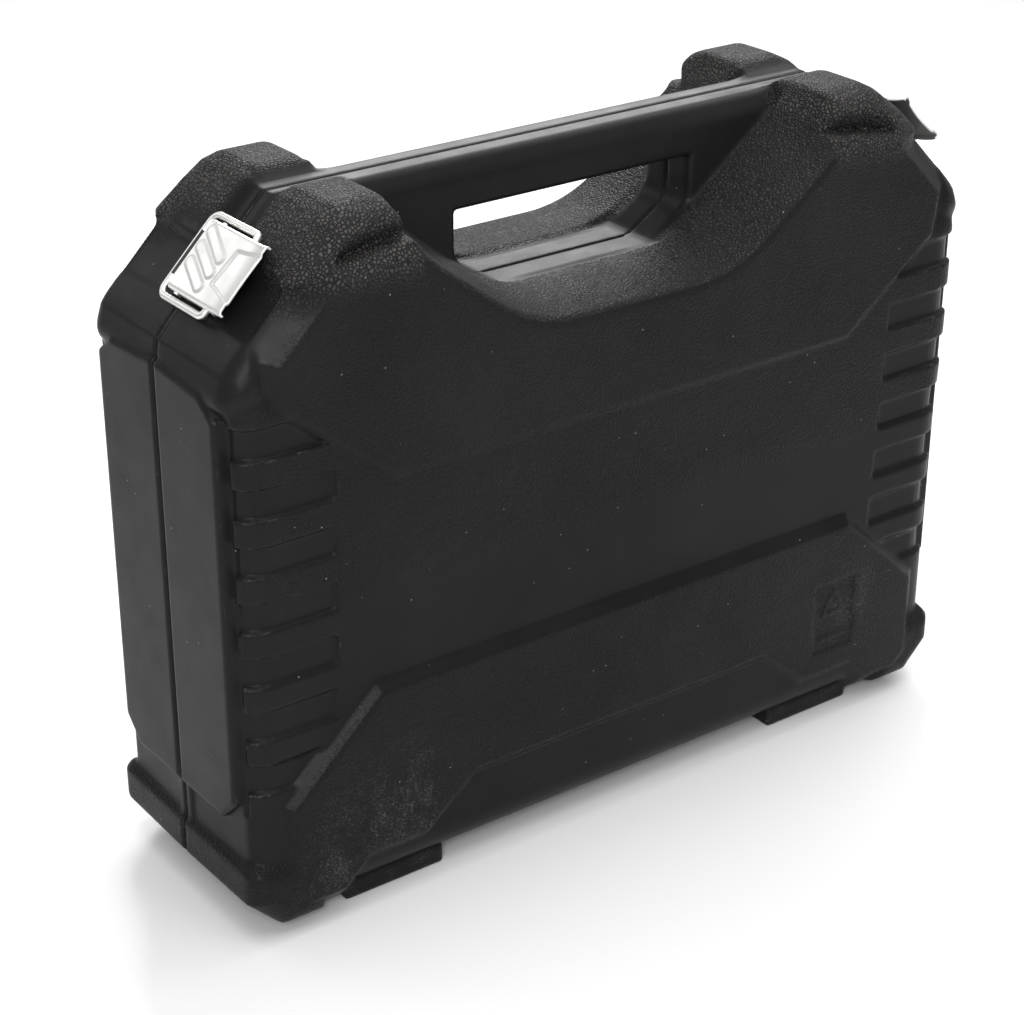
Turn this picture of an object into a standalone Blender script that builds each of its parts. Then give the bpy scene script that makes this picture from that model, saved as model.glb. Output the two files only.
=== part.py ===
"""Socket wrench set in a blow-moulded carrying case.

The case stands on its hinge feet: X is the width, Y the thickness (the lid half is at -Y),
Z is up, and the origin is on the floor below the middle of the case. Sizes are in
millimetres here and are scaled to metres when a mesh is finished.
"""
import math

import bmesh
import bpy
from mathutils import Matrix, Vector

MM = 0.001
SOLVER = "MANIFOLD"        # the exact solver leaves open edges where the many slanted faces meet

# ---- driving sizes of the case ----
WIDTH = 380.0              # over the side panels, bulges and bumpers
HEIGHT = 300.0             # floor to the top of the shoulder pads
HALF_THICKNESS = 57.5      # seam plane to the raised plateaus
PLATEAU_RISE = 4.5         # plateaus stand this far off the plain face
WALL = 3.5                 # moulded skin
SEAM_GAP = 0.3             # between the two halves
SHOULDER = 50.0            # 45 degree cut at the two top corners
PANEL_RISE = 3.0           # side panels, bulges and bumpers beyond the ribbed corners
PAD_RISE = 4.0             # shoulder pads above the handle's top
CORNER_ROUND = 9.0         # vertical corners of each half
BASE_HEIGHT = 8.0          # underside of the body above the floor
BUMPER_HEIGHT = 4.0        # underside of the corner bumpers above the floor

# ---- handle and scoop ----
HANDLE_HALF = 15.0         # half of the handle's thickness
HANDLE_DEEP = 20.5         # top of the handle to its underside
GRIP_HIGH = 34.5           # clear height under the handle
GRIP_TOP_HALF = 50.0       # half widths of the grip hole
GRIP_WIDE_HALF = 60.0
SADDLE_HALF = 42.0
SCOOP_FACE_HALF = 50.0     # scoop edge on the face
SCOOP_SINK = 3.0           # fall of the scoop's floor towards the face
SCOOP_LIP_INSET = 10.0     # from the pads' inner ends to the scoop's edge on the face
PAD_LENGTH = 27.0          # shoulder pads, along the top

# ---- ribs, plateaus ----
BAND_MARGIN = 8.0          # the topmost band stays this far under the bulges
BAND_HEIGHT = 12.5
BAND_PITCH = 24.2
BAND_LOWEST = 69.0
BAND_DEPTH = 1.5
BAND_LENGTH = 42.5         # how far the bands run onto the face
PANEL_HALF = 45.0          # side panel, seam to edge
PANEL_LOW = 52.0
PANEL_DROP = 61.0          # handle top to the panel's upper end
BULGE_DEEP = 8.0           # how far the bulges and panels are rooted inside the corners

# ---- hinge ----
HINGE_HEIGHT = 3.5         # hinge axis above the floor
KNUCKLE_RADIUS = 3.3
PIN_RADIUS = 1.5
BORE_CLEARANCE = 0.25
FOOT_LENGTH = 50.0         # the lid's foot and knuckle, along the hinge
FOOT_INSET = 48.0          # outer end of that foot from the case's side
FOOT_REACH = 48.0          # feet run this far out from the seam
BACK_KNUCKLE = 9.0         # length of each of the back half's knuckles
KNUCKLE_GAP = 0.4

# ---- latch, in its own axes: x along the slope, y across the seam, z off the slope ----
LEVER_HALF = 15.0
LEVER_REAR, LEVER_LIP = 2.0, -40.5
PLATE_LOW, PLATE_THICK = 8.4, 1.0
LIP_LENGTH, LIP_RISE = 7.0, 3.2
PIVOT_Y, PIVOT_Z = -2.0, 6.0
PIVOT_RADIUS = 1.1
BORE_PLAY = 0.2            # air round the pivot pins and the wire's ends
WIRE_RADIUS = 1.5
WIRE_PIVOT_Y, WIRE_PIVOT_Z = -22.0, 4.5
WIRE_BAR_Y, WIRE_BAR_Z = 11.0, 3.4
WIRE_HALF = 18.5
EAR_THICK = 1.0
BLOCK_HALF = 13.2
KEEPER_HALF = 14.0
KEEPER_NEAR, KEEPER_FAR, KEEPER_HIGH = 4.5, 9.0, 6.0

# ---- tray and tools ----
FIT = 0.6                  # air round a tool in its pocket
TRAY_FACE, TRAY_SHEET = 8.0, 1.8        # the tray's face and its thickness
POCKET_WALL = 1.6
TRAY_EDGE_GAP = 1.0
LINER_FACE = 1.2           # lid liner's face from the seam plane
TOOL_FRONT = 2.2           # nearest that a tool comes to the seam plane
BIG_DRIVE, SMALL_DRIVE = 12.7, 6.35
BIG_SOCKET_LENGTH, SMALL_SOCKET_LENGTH = 38.0, 25.0
DRIVE_PLAY = 0.3
BIG_SOCKETS = (32, 27, 24, 22, 19, 17, 15, 14, 13, 12)
SMALL_SOCKETS = (13, 12, 11, 10, 9, 8, 7, 6)
SOCKET_SPACING = 5.6       # between neighbouring sockets' walls
ROW_INSET = 17.0           # the rows of tools start this far inside the ribbed corner
ROW_BIG_SOCKETS, ROW_EXTENSION, ROW_BIG_RATCHET = 42.0, 78.0, 108.0
ROW_SMALL_RATCHET, ROW_SMALL_SOCKETS, ROW_TEE = 143.0, 172.0, 203.0
ROW_TOP = 225.0
EXTENSION_LENGTHS = {"extension_long": 230.0, "extension_short": 125.0,
                     "small_extension_long": 100.0, "small_extension_short": 50.0}
PLUG_SOCKETS, PLUG_LENGTH, PLUG_SPACING = (21, 16), 42.0, 36.0
RATCHET_LENGTHS = {"ratchet_large": 250.0, "ratchet_small": 150.0}
HEX_CORNER = 0.5774        # half of a hexagon's width across corners, over its width across flats
TEE_RADIUS, TEE_HEAD_RADIUS, TEE_LENGTH, TEE_HEAD_LENGTH = 5.6, 11.5, 250.0, 28.0
TEE_DRIVE_LENGTH = 12.0
SPINNER_COLLAR = 5.6       # radius

# ---- worked-out places ----
RIB_HALF = WIDTH / 2 - PANEL_RISE        # ribbed corners
TOP = HEIGHT - PAD_RISE                  # handle top
FACE = HALF_THICKNESS - PLATEAU_RISE     # plain face from the seam plane
SHOULDER_X = RIB_HALF - SHOULDER + 1.0   # where the shoulder meets the top
SHOULDER_SUM = SHOULDER_X + TOP          # x + z on the shoulder
SADDLE = TOP - HANDLE_DEEP - GRIP_HIGH
SCOOP_PAD_HALF = SHOULDER_X - PAD_LENGTH # inner ends of the shoulder pads
SCOOP_LIP_HALF = SCOOP_PAD_HALF - SCOOP_LIP_INSET
PANEL_HIGH = TOP - PANEL_DROP
BAND_END = RIB_HALF - BAND_LENGTH
BAND_COUNT = int((PANEL_HIGH - BAND_MARGIN - BAND_LOWEST - BAND_HEIGHT) / BAND_PITCH) + 1
FOOT_OUTER = WIDTH / 2 - FOOT_INSET
FOOT_INNER = FOOT_OUTER - FOOT_LENGTH
ROW_LEFT = ROW_INSET - RIB_HALF
LATCH_X = SHOULDER_X + SHOULDER / 2      # middle of the shoulder
LATCH_Z = SHOULDER_SUM - LATCH_X
HALF_SEAM = SEAM_GAP / 2


# ------------------------------------------------------------------ helpers
def start_scene():
    """Empty the file and make the two collections."""
    for old in list(bpy.data.objects):
        bpy.data.objects.remove(old, do_unlink=True)
    for name in ("socket_wrench_set", "cutters"):
        group = bpy.data.collections.new(name)
        bpy.context.scene.collection.children.link(group)


def material(name, colour, roughness, metallic=0.0):
    """A Principled material, made once and shared by name."""
    if name in bpy.data.materials:
        return bpy.data.materials[name]
    made = bpy.data.materials.new(name)
    made.use_nodes = True
    shader = made.node_tree.nodes["Principled BSDF"]
    shader.inputs["Base Color"].default_value = (*colour, 1.0)
    shader.inputs["Roughness"].default_value = roughness
    shader.inputs["Metallic"].default_value = metallic
    made.diffuse_color = (*colour, 1.0)
    return made


def scratch(mesh, name="cutter"):
    """A mesh as a hidden working object in the cutters' collection."""
    made = bpy.data.objects.new(name, mesh)
    made.hide_render = True
    made.display_type = "WIRE"
    bpy.data.collections["cutters"].objects.link(made)
    return made


def from_bmesh(work):
    """Close a bmesh into a working object, in millimetres, in flat triangles."""
    bmesh.ops.triangulate(work, faces=work.faces)
    mesh = bpy.data.meshes.new("shape")
    work.to_mesh(mesh)
    work.free()
    return scratch(mesh)


def box(low, high):
    work = bmesh.new()
    bmesh.ops.create_cube(work, size=1.0)
    size = [b - a for a, b in zip(low, high)]
    middle = [(a + b) / 2 for a, b in zip(low, high)]
    bmesh.ops.scale(work, vec=size, verts=work.verts)
    bmesh.ops.translate(work, vec=middle, verts=work.verts)
    return from_bmesh(work)


AXIS_TURN = {
    "X": Matrix.Rotation(math.pi / 2, 4, "Y"),
    "Y": Matrix.Rotation(-math.pi / 2, 4, "X"),
    "Z": Matrix.Identity(4),
}


def rod(radius, start, end, axis, at=(0.0, 0.0), segments=20, radius_end=None, phase=0.0):
    """A round or tapered bar along an axis, from start to end, at the other two coordinates."""
    work = bmesh.new()
    bmesh.ops.create_cone(
        work, cap_ends=True, segments=segments, radius1=radius,
        radius2=radius if radius_end is None else radius_end, depth=end - start,
        matrix=AXIS_TURN[axis] @ Matrix.Rotation(phase, 4, "Z"))
    middle = (start + end) / 2
    place = {"X": (middle, *at), "Y": (at[0], middle, at[1]), "Z": (*at, middle)}[axis]
    bmesh.ops.translate(work, vec=place, verts=work.verts)
    return from_bmesh(work)


def outline(points, low, high, plane="XZ"):
    """A flat outline, filled and thickened from low to high across its plane."""
    curve = bpy.data.curves.new("outline", "CURVE")
    curve.dimensions = "2D"
    curve.fill_mode = "BOTH"
    curve.extrude = abs(high - low) / 2
    line = curve.splines.new("POLY")
    line.points.add(len(points) - 1)
    for spot, (across, up) in zip(line.points, points):
        spot.co = (across, up, 0.0, 1.0)
    line.use_cyclic_u = True
    drawn = bpy.data.objects.new("outline", curve)
    bpy.data.collections["cutters"].objects.link(drawn)
    middle = (low + high) / 2
    turn, place = {
        "XZ": (Matrix.Rotation(math.pi / 2, 4, "X"), (0.0, middle, 0.0)),
        "XY": (Matrix.Identity(4), (0.0, 0.0, middle)),
        "YZ": (Matrix.Rotation(math.pi / 2, 4, "X"), (0.0, 0.0, 0.0)),
    }[plane]
    drawn.matrix_world = Matrix.Translation(place) @ turn
    if plane == "YZ":
        drawn.matrix_world = (Matrix.Translation((middle, 0.0, 0.0))
                              @ Matrix.Rotation(math.pi / 2, 4, "Z") @ turn)
    bpy.context.view_layer.update()
    graph = bpy.context.evaluated_depsgraph_get()
    mesh = bpy.data.meshes.new_from_object(drawn.evaluated_get(graph))
    mesh.transform(drawn.matrix_world)
    bpy.data.objects.remove(drawn, do_unlink=True)
    work = bmesh.new()
    work.from_mesh(mesh)
    bmesh.ops.remove_doubles(work, verts=work.verts, dist=0.0001)
    bmesh.ops.recalc_face_normals(work, faces=work.faces)
    return from_bmesh(work)


def turned(profile, axis, at, segments=20):
    """A solid of revolution: (along, radius) pairs from one end to the other."""
    mesh = bpy.data.meshes.new("profile")
    work = bmesh.new()
    spots = [(along, 0.0) for along, radius in profile[:1]] + list(profile)
    spots.append((profile[-1][0], 0.0))
    verts = [work.verts.new((radius, 0.0, -along)) for along, radius in spots]
    for one, two in zip(verts, verts[1:]):
        work.edges.new((one, two))
    work.to_mesh(mesh)
    work.free()
    shape = scratch(mesh)
    screw = shape.modifiers.new("turn", "SCREW")
    screw.steps = segments
    screw.render_steps = segments
    screw.use_merge_vertices = True
    screw.merge_threshold = 0.0001
    settle(shape)
    flip = Matrix.Rotation(math.pi, 4, "X")
    shape.data.transform(AXIS_TURN[axis] @ flip)
    place = {"X": (0.0, *at), "Y": (at[0], 0.0, at[1]), "Z": (*at, 0.0)}[axis]
    shape.data.transform(Matrix.Translation(place))
    tidy = bmesh.new()
    tidy.from_mesh(shape.data)
    bmesh.ops.remove_doubles(tidy, verts=tidy.verts, dist=0.0001)
    bmesh.ops.recalc_face_normals(tidy, faces=tidy.faces)
    tidy.to_mesh(shape.data)
    tidy.free()
    return shape


def settle(shape):
    """Apply the object's modifiers."""
    bpy.context.view_layer.update()
    graph = bpy.context.evaluated_depsgraph_get()
    mesh = bpy.data.meshes.new_from_object(shape.evaluated_get(graph))
    shape.modifiers.clear()
    shape.data = mesh


def combine(shape, others, operation):
    """Apply one Boolean per other shape, and remove the others."""
    for other in others:
        step = shape.modifiers.new(operation.lower(), "BOOLEAN")
        step.operation = operation
        step.solver = SOLVER
        step.object = other
        settle(shape)
        bpy.data.objects.remove(other, do_unlink=True)
    return shape


def cut(shape, *others):
    return combine(shape, others, "DIFFERENCE")


def join(shape, *others):
    return combine(shape, others, "UNION")


def chamfer(shape, test, width, segments=1):
    """Bevel the edges whose two ends both pass the test."""
    work = bmesh.new()
    work.from_mesh(shape.data)
    bmesh.ops.dissolve_limit(work, angle_limit=0.001, verts=work.verts, edges=work.edges)
    edges = [edge for edge in work.edges if all(test(vert.co) for vert in edge.verts)]
    bmesh.ops.bevel(work, geom=edges, offset=width, segments=segments, profile=0.5,
                    affect="EDGES", clamp_overlap=True)
    bmesh.ops.triangulate(work, faces=work.faces)
    work.to_mesh(shape.data)
    work.free()
    return shape


def finish(name, shape, finish_material, turn=None, origin=(0.0, 0.0, 0.0)):
    """Name the piece, clean its mesh, scale it to metres and put its origin in place."""
    work = bmesh.new()
    work.from_mesh(shape.data)
    bmesh.ops.remove_doubles(work, verts=work.verts, dist=0.0005)
    bmesh.ops.triangulate(work, faces=work.faces)
    work.to_mesh(shape.data)
    work.free()
    mesh = shape.data
    mesh.name = name
    mesh.transform(Matrix.Translation(-Vector(origin)))
    mesh.transform(Matrix.Scale(MM, 4))
    mesh.materials.clear()
    mesh.materials.append(finish_material)
    for face in mesh.polygons:
        face.use_smooth = True
    mesh.set_sharp_from_angle(angle=math.radians(35.0))
    bpy.data.objects.remove(shape, do_unlink=True)
    made = bpy.data.objects.new(name, mesh)
    bpy.data.collections["socket_wrench_set"].objects.link(made)
    made.matrix_world = (turn or Matrix.Identity(4)) @ Matrix.Translation(Vector(origin) * MM)
    return made


def mirrored(points):
    """The right half of an outline, bottom to top, closed with its mirror image."""
    return points + [(-across, up) for across, up in reversed(points)]


def arc(centre, radius, start, end, steps):
    """Points on an arc, angles in degrees."""
    angles = [math.radians(start + (end - start) * step / steps) for step in range(steps + 1)]
    return [(centre[0] + radius * math.cos(a), centre[1] + radius * math.sin(a)) for a in angles]


# ------------------------------------------------------------------ case halves
def hull(near, far):
    """The convex solid between two outlines, each a list of points."""
    work = bmesh.new()
    for point in near + far:
        work.verts.new(point)
    bmesh.ops.convex_hull(work, input=work.verts)
    bmesh.ops.delete(work, geom=[vert for vert in work.verts if not vert.link_faces], context="VERTS")
    bmesh.ops.recalc_face_normals(work, faces=work.faces)
    return from_bmesh(work)


def scoop_cutter(side):
    """The scoop in front of or behind the handle, down to the grip."""
    past = HALF_THICKNESS + 4.0
    sky = HEIGHT + 10.0
    near = mirrored([(SADDLE_HALF, SADDLE), (SCOOP_PAD_HALF, TOP), (SCOOP_PAD_HALF, sky)])
    far = mirrored([(SCOOP_FACE_HALF, SADDLE - SCOOP_SINK), (SCOOP_LIP_HALF, TOP - HANDLE_DEEP),
                    (SCOOP_PAD_HALF, TOP), (SCOOP_PAD_HALF, sky)])
    return hull([(x, side * HANDLE_HALF, z) for x, z in near], [(x, side * past, z) for x, z in far])


def grip_cutter():
    under = TOP - HANDLE_DEEP
    widest = SADDLE + GRIP_HIGH * 0.46
    points = mirrored([(SADDLE_HALF, SADDLE), (GRIP_WIDE_HALF, widest), (GRIP_TOP_HALF, under)])
    return outline(points, -HANDLE_HALF - 1.0, HANDLE_HALF + 1.0)


def span(side, near, far):
    """A low and high y on one side of the seam."""
    return sorted((side * near, side * far))


def body_block(side):
    """The plain half: outline with 45 degree shoulders, rounded towards its face."""
    corner = 10.0
    points = mirrored([(RIB_HALF - corner, BASE_HEIGHT), (RIB_HALF, BASE_HEIGHT + corner),
                       (RIB_HALF, SHOULDER_SUM - RIB_HALF), (SHOULDER_X, TOP)])
    block = outline(points, *span(side, HALF_SEAM, FACE))
    return chamfer(block, lambda p: abs(abs(p.y) - FACE) < 0.01, CORNER_ROUND, 4)


def band_cutters():
    """The recessed bands that wrap each vertical corner, as one cutter shape per band and side."""
    inside = RIB_HALF - BAND_DEPTH
    face = FACE - BAND_DEPTH
    bend = CORNER_ROUND - BAND_DEPTH
    curve = arc((inside - bend, face - bend), bend, 90.0, 15.0, 5)
    edge = curve[-1][1]
    profile = [(BAND_END, face)] + curve + [(WIDTH, edge), (WIDTH, FACE + 5.0), (BAND_END, FACE + 5.0)]
    for band in range(BAND_COUNT):
        low = BAND_LOWEST + band * BAND_PITCH
        for across in (-1, 1):
            yield across, profile, low


def cut_bands(half, side):
    for across, profile, low in band_cutters():
        points = [(across * x, side * y) for x, y in profile]
        cut(half, outline(points, low, low + BAND_HEIGHT, plane="XY"))


def raised_parts(side):
    """Everything that stands proud of the plain half."""
    edge = WIDTH / 2
    deep = RIB_HALF - BULGE_DEEP
    chamfer_width = PLATEAU_RISE - 0.7
    upper = mirrored([(RIB_HALF - 68.0, TOP - 106.5), (RIB_HALF - 17.0, TOP - 67.0),
                      (RIB_HALF - 14.0, TOP - 46.0), (RIB_HALF - 47.0, TOP - 15.0)])
    lower = mirrored([(FOOT_INNER - 13.0, 43.0), (FOOT_INNER + 12.5, 22.0), (FOOT_OUTER - 9.5, 22.0),
                      (RIB_HALF - 37.0, BUMPER_HEIGHT + 2.0), (RIB_HALF - 21.0, BUMPER_HEIGHT + 2.0),
                      (RIB_HALF - 15.0, 20.0), (RIB_HALF - 15.0, 63.0), (RIB_HALF - 59.0, 104.0)])
    for points in (upper, lower):
        plateau = outline(points, *span(side, FACE - 2.0, HALF_THICKNESS))
        yield chamfer(plateau, lambda p: abs(abs(p.y) - HALF_THICKNESS) < 0.01, chamfer_width)
    for across in (-1, 1):
        pad = [(across * x, z) for x, z in (
            (SCOOP_PAD_HALF - 3.0, TOP - 6.0), (SCOOP_PAD_HALF - 3.0, HEIGHT), (SHOULDER_X + 1.0, HEIGHT),
            (SHOULDER_X + 9.0, HEIGHT - 8.0), (SHOULDER_X + 5.0, TOP - 12.0))]
        shape = outline(pad, *span(side, HANDLE_HALF, FACE - 2.0))
        yield chamfer(shape, lambda p: p.z > HEIGHT - 9.0, 2.0)
        bulge = [(across * x, z) for x, z in (
            (deep, PANEL_HIGH - 5.0), (edge, PANEL_HIGH + 1.0), (edge, SHOULDER_SUM - edge),
            (deep, SHOULDER_SUM - deep))]
        shape = outline(bulge, *span(side, 1.0, FACE - 3.0))
        yield chamfer(shape, lambda p: abs(p.x) > edge - 0.1 and abs(p.y) > FACE - 4.0, 5.0, 2)
        inner = FOOT_OUTER + BACK_KNUCKLE + 2.5
        bumper = [(across * x, z) for x, z in (
            (inner, BUMPER_HEIGHT), (edge - 14.0, BUMPER_HEIGHT), (edge, 18.0), (edge, 32.0),
            (edge - 3.0, 36.0), (inner, 36.0))]
        shape = outline(bumper, *span(side, 1.0, FACE + 2.0))
        yield chamfer(shape, lambda p: abs(abs(p.y) - FACE - 2.0) < 0.01 and abs(p.x) > inner + 1.0, 6.0, 2)
        panel = [(side * y, z) for y, z in (
            (1.0, PANEL_LOW), (PANEL_HALF - 10.0, PANEL_LOW), (PANEL_HALF, PANEL_LOW + 10.0),
            (PANEL_HALF, PANEL_HIGH - 5.0), (PANEL_HALF - 10.0, PANEL_HIGH), (1.0, PANEL_HIGH))]
        low, high = sorted((across * deep, across * edge))
        yield outline(panel, low, high, plane="YZ")


def cavity_cutter(side):
    """The hollow of a half, a wall inside its skin and below the scoop."""
    skin = WALL + 0.5
    edge = RIB_HALF - skin
    floor = BASE_HEIGHT + WALL
    points = mirrored([
        (edge - 8.0, floor), (edge, floor + 8.0), (edge, SHOULDER_SUM - edge - skin),
        (SHOULDER_X - 2.0, SHOULDER_SUM - SHOULDER_X + 2.0 - 1.5 * skin),
        (SCOOP_PAD_HALF + skin, TOP - skin - 2.0),
        (SCOOP_LIP_HALF + skin + 1.0, TOP - HANDLE_DEEP - skin - 4.0),
        (SCOOP_FACE_HALF + 3.0, SADDLE - SCOOP_SINK - skin)])
    shape = outline(points, *span(side, -1.0, FACE - WALL))
    return chamfer(shape, lambda p: abs(abs(p.y) - FACE + WALL) < 0.01, CORNER_ROUND - 1.0, 3)


def dent_cutter(side, across):
    """The hollow in the front of each shoulder, above the upper plateau."""
    past = HALF_THICKNESS + 4.0
    profile = [(side * y, z) for y, z in (
        (past, TOP - 18.0), (FACE, TOP - 13.5), (FACE - 9.0, TOP + 5.0), (past, TOP + 5.0))]
    low, high = sorted((across * (SCOOP_LIP_HALF + 2.0), across * (SHOULDER_X + 3.0)))
    return outline(profile, low, high, plane="YZ")


def handle_bevel(side):
    """Bevelled upper edge of the handle."""
    profile = [(side * y, z) for y, z in (
        (HANDLE_HALF - 6.0, TOP), (HANDLE_HALF, TOP - 7.0), (HANDLE_HALF + 1.0, TOP - 7.0),
        (HANDLE_HALF + 1.0, TOP + 1.0), (HANDLE_HALF - 6.0, TOP + 1.0))]
    return outline(profile, -SCOOP_PAD_HALF + 1.0, SCOOP_PAD_HALF - 1.0, plane="YZ")


def knuckles(side, across):
    """Feet and hinge knuckles of one half, at one end, as joined blocks."""
    if side < 0:
        spans = [(FOOT_INNER + KNUCKLE_GAP, FOOT_OUTER - KNUCKLE_GAP)]
    else:
        spans = [(FOOT_INNER - BACK_KNUCKLE, FOOT_INNER), (FOOT_OUTER, FOOT_OUTER + BACK_KNUCKLE)]
    for inner, outer in spans:
        low, high = sorted((across * inner, across * outer))
        near, far = span(side, 0.0, FOOT_REACH)
        foot = box((low, near, 0.0), (high, far, BASE_HEIGHT + 1.5))
        chamfer(foot, lambda p: abs(p.y) > 1.0 and p.z < 0.1, 2.0)
        barrel = rod(KNUCKLE_RADIUS, low, high, "X", (0.0, HINGE_HEIGHT), segments=24)
        slot_low, slot_high = span(side, -0.1, KNUCKLE_RADIUS * 0.6)
        relief = box((low - 1.0, slot_low, HINGE_HEIGHT), (high + 1.0, slot_high, BASE_HEIGHT + 3.0))
        cut(foot, relief)
        below = box((low - 1.0, slot_low, -1.0), (high + 1.0, slot_high, HINGE_HEIGHT + 0.1))
        cut(foot, below)
        yield join(foot, barrel)


def half_case(name, side, finish_material):
    half = body_block(side)
    cut_bands(half, side)
    for shape in raised_parts(side):
        join(half, shape)
    cut(half, scoop_cutter(side), grip_cutter(), handle_bevel(side))
    for across in (-1, 1):
        cut(half, dent_cutter(side, across))
    cut(half, cavity_cutter(side))
    for across in (-1, 1):
        for shape in knuckles(side, across):
            join(half, shape)
        ends = (FOOT_INNER - BACK_KNUCKLE - 2.0, FOOT_OUTER + BACK_KNUCKLE + 2.0)
        low, high = sorted(across * end for end in ends)
        cut(half, rod(PIN_RADIUS + BORE_CLEARANCE, low, high, "X", (0.0, HINGE_HEIGHT), segments=16))
    return finish(name, half, finish_material)


def hinge_pin(name, across, finish_material):
    reach = sorted((across * (FOOT_INNER - BACK_KNUCKLE + 0.5), across * (FOOT_OUTER + BACK_KNUCKLE - 0.5)))
    pin = rod(PIN_RADIUS, *reach, "X", (0.0, HINGE_HEIGHT), segments=16)
    return finish(name, pin, finish_material)


# ------------------------------------------------------------------ latches
def latch_frame(across):
    """The latch's axes on one shoulder, in metres."""
    turn = Matrix.Rotation(across * math.pi / 4, 4, "Y")
    return Matrix.Translation(Vector((across * LATCH_X, 0.0, LATCH_Z)) * MM) @ turn


def keeper():
    """Lug on the back half that the wire hooks behind, stepped at its ends."""
    lug = box((-KEEPER_HALF, KEEPER_NEAR, 0.3), (KEEPER_HALF, KEEPER_FAR, KEEPER_HIGH * 0.6))
    crown = box((-KEEPER_HALF + 4.0, KEEPER_NEAR, 0.6), (KEEPER_HALF - 4.0, KEEPER_FAR, KEEPER_HIGH))
    base = box((-KEEPER_HALF - 2.0, 1.0, 0.3), (KEEPER_HALF + 2.0, KEEPER_FAR - 0.5, 1.3))
    return join(lug, crown, base)


def latch_block():
    """Bearing block on the lid half, with a bore for the lever's pivot."""
    base = box((-BLOCK_HALF, -17.0, 0.3), (BLOCK_HALF, -HALF_SEAM - 0.3, 2.6))
    hub = rod(2.1, -BLOCK_HALF, BLOCK_HALF, "X", (PIVOT_Y, PIVOT_Z), segments=20)
    web = box((-BLOCK_HALF, PIVOT_Y - 1.9, 0.8), (BLOCK_HALF, PIVOT_Y + 1.4, PIVOT_Z))
    past = BLOCK_HALF + 1.0
    bore = rod(PIVOT_RADIUS + BORE_PLAY, -past, past, "X", (PIVOT_Y, PIVOT_Z), segments=16)
    return cut(join(base, web, hub), bore)


def lever():
    """Pressed lever: plate with a turned-up lip, and an ear down each side."""
    top = PLATE_LOW + PLATE_THICK
    bend = LEVER_LIP + LIP_LENGTH
    sheet = [(LEVER_REAR, PLATE_LOW), (LEVER_REAR, top), (bend, top), (LEVER_LIP, top + LIP_RISE),
             (LEVER_LIP - 0.3, top + LIP_RISE - PLATE_THICK), (bend, PLATE_LOW)]
    plate = outline(sheet, -LEVER_HALF, LEVER_HALF, plane="YZ")
    ear = [(LEVER_REAR, top - 0.3), (LEVER_REAR, PIVOT_Z - 2.2), (PIVOT_Y + 1.5, PIVOT_Z - 3.2),
           (WIRE_PIVOT_Y - 1.0, WIRE_PIVOT_Z - 3.0), (WIRE_PIVOT_Y - 3.5, WIRE_PIVOT_Z - 1.0),
           (WIRE_PIVOT_Y - 5.5, top - 0.3)]
    for across in (-1, 1):
        low, high = sorted((across * (LEVER_HALF - EAR_THICK), across * LEVER_HALF))
        join(plate, outline(ear, low, high, plane="YZ"))
    past = LEVER_HALF + 1.0
    pivot = rod(PIVOT_RADIUS + BORE_PLAY, -past, past, "X", (PIVOT_Y, PIVOT_Z), segments=16)
    wire = rod(WIRE_RADIUS + BORE_PLAY, -past, past, "X", (WIRE_PIVOT_Y, WIRE_PIVOT_Z), segments=16)
    return cut(plate, pivot, wire)


def bail():
    """Wire loop: its ends turn in through the lever's ears, its bar lies behind the keeper."""
    bend = 4.0
    inner_end = LEVER_HALF - EAR_THICK - 1.4
    right = [(inner_end, WIRE_PIVOT_Y)]
    right += arc((WIRE_HALF - 2.5, WIRE_PIVOT_Y + 2.5), 2.5, -90.0, 0.0, 3)
    right += arc((WIRE_HALF - bend, WIRE_BAR_Y - bend), bend, 0.0, 90.0, 4)
    route = right + [(-x, y) for x, y in reversed(right)]
    fall = (WIRE_BAR_Z - WIRE_PIVOT_Z) / (WIRE_BAR_Y - WIRE_PIVOT_Y)
    curve = bpy.data.curves.new("wire", "CURVE")
    curve.dimensions = "3D"
    curve.bevel_depth = WIRE_RADIUS
    curve.bevel_resolution = 2
    curve.use_fill_caps = True
    line = curve.splines.new("POLY")
    line.points.add(len(route) - 1)
    for spot, (x, y) in zip(line.points, route):
        spot.co = (x, y, WIRE_PIVOT_Z + (y - WIRE_PIVOT_Y) * fall, 1.0)
    drawn = bpy.data.objects.new("wire", curve)
    bpy.data.collections["cutters"].objects.link(drawn)
    bpy.context.view_layer.update()
    graph = bpy.context.evaluated_depsgraph_get()
    mesh = bpy.data.meshes.new_from_object(drawn.evaluated_get(graph))
    bpy.data.objects.remove(drawn, do_unlink=True)
    work = bmesh.new()
    work.from_mesh(mesh)
    bmesh.ops.remove_doubles(work, verts=work.verts, dist=0.0001)
    bmesh.ops.recalc_face_normals(work, faces=work.faces)
    return from_bmesh(work)


def latch(word, across, steel, plastic):
    frame = latch_frame(across)
    finish(f"{word}_keeper", keeper(), plastic, turn=frame)
    finish(f"{word}_latch_block", latch_block(), plastic, turn=frame)
    pin = rod(PIVOT_RADIUS, -LEVER_HALF - 1.2, LEVER_HALF + 1.2, "X", (PIVOT_Y, PIVOT_Z), segments=12)
    finish(f"{word}_pivot_pin", pin, steel, turn=frame, origin=(0.0, PIVOT_Y, PIVOT_Z))
    finish(f"{word}_lever", lever(), steel, turn=frame, origin=(0.0, PIVOT_Y, PIVOT_Z))
    finish(f"{word}_bail", bail(), steel, turn=frame, origin=(0.0, WIRE_PIVOT_Y, WIRE_PIVOT_Z))


# ------------------------------------------------------------------ tools
def square_bar(size, start, end, axis, at):
    """A square drive along X or Y."""
    half = size / 2
    if axis == "X":
        bar = box((start, at[0] - half, at[1] - half), (end, at[0] + half, at[1] + half))
    else:
        bar = box((at[0] - half, start, at[1] - half), (at[0] + half, end, at[1] + half))
    return bar


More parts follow.
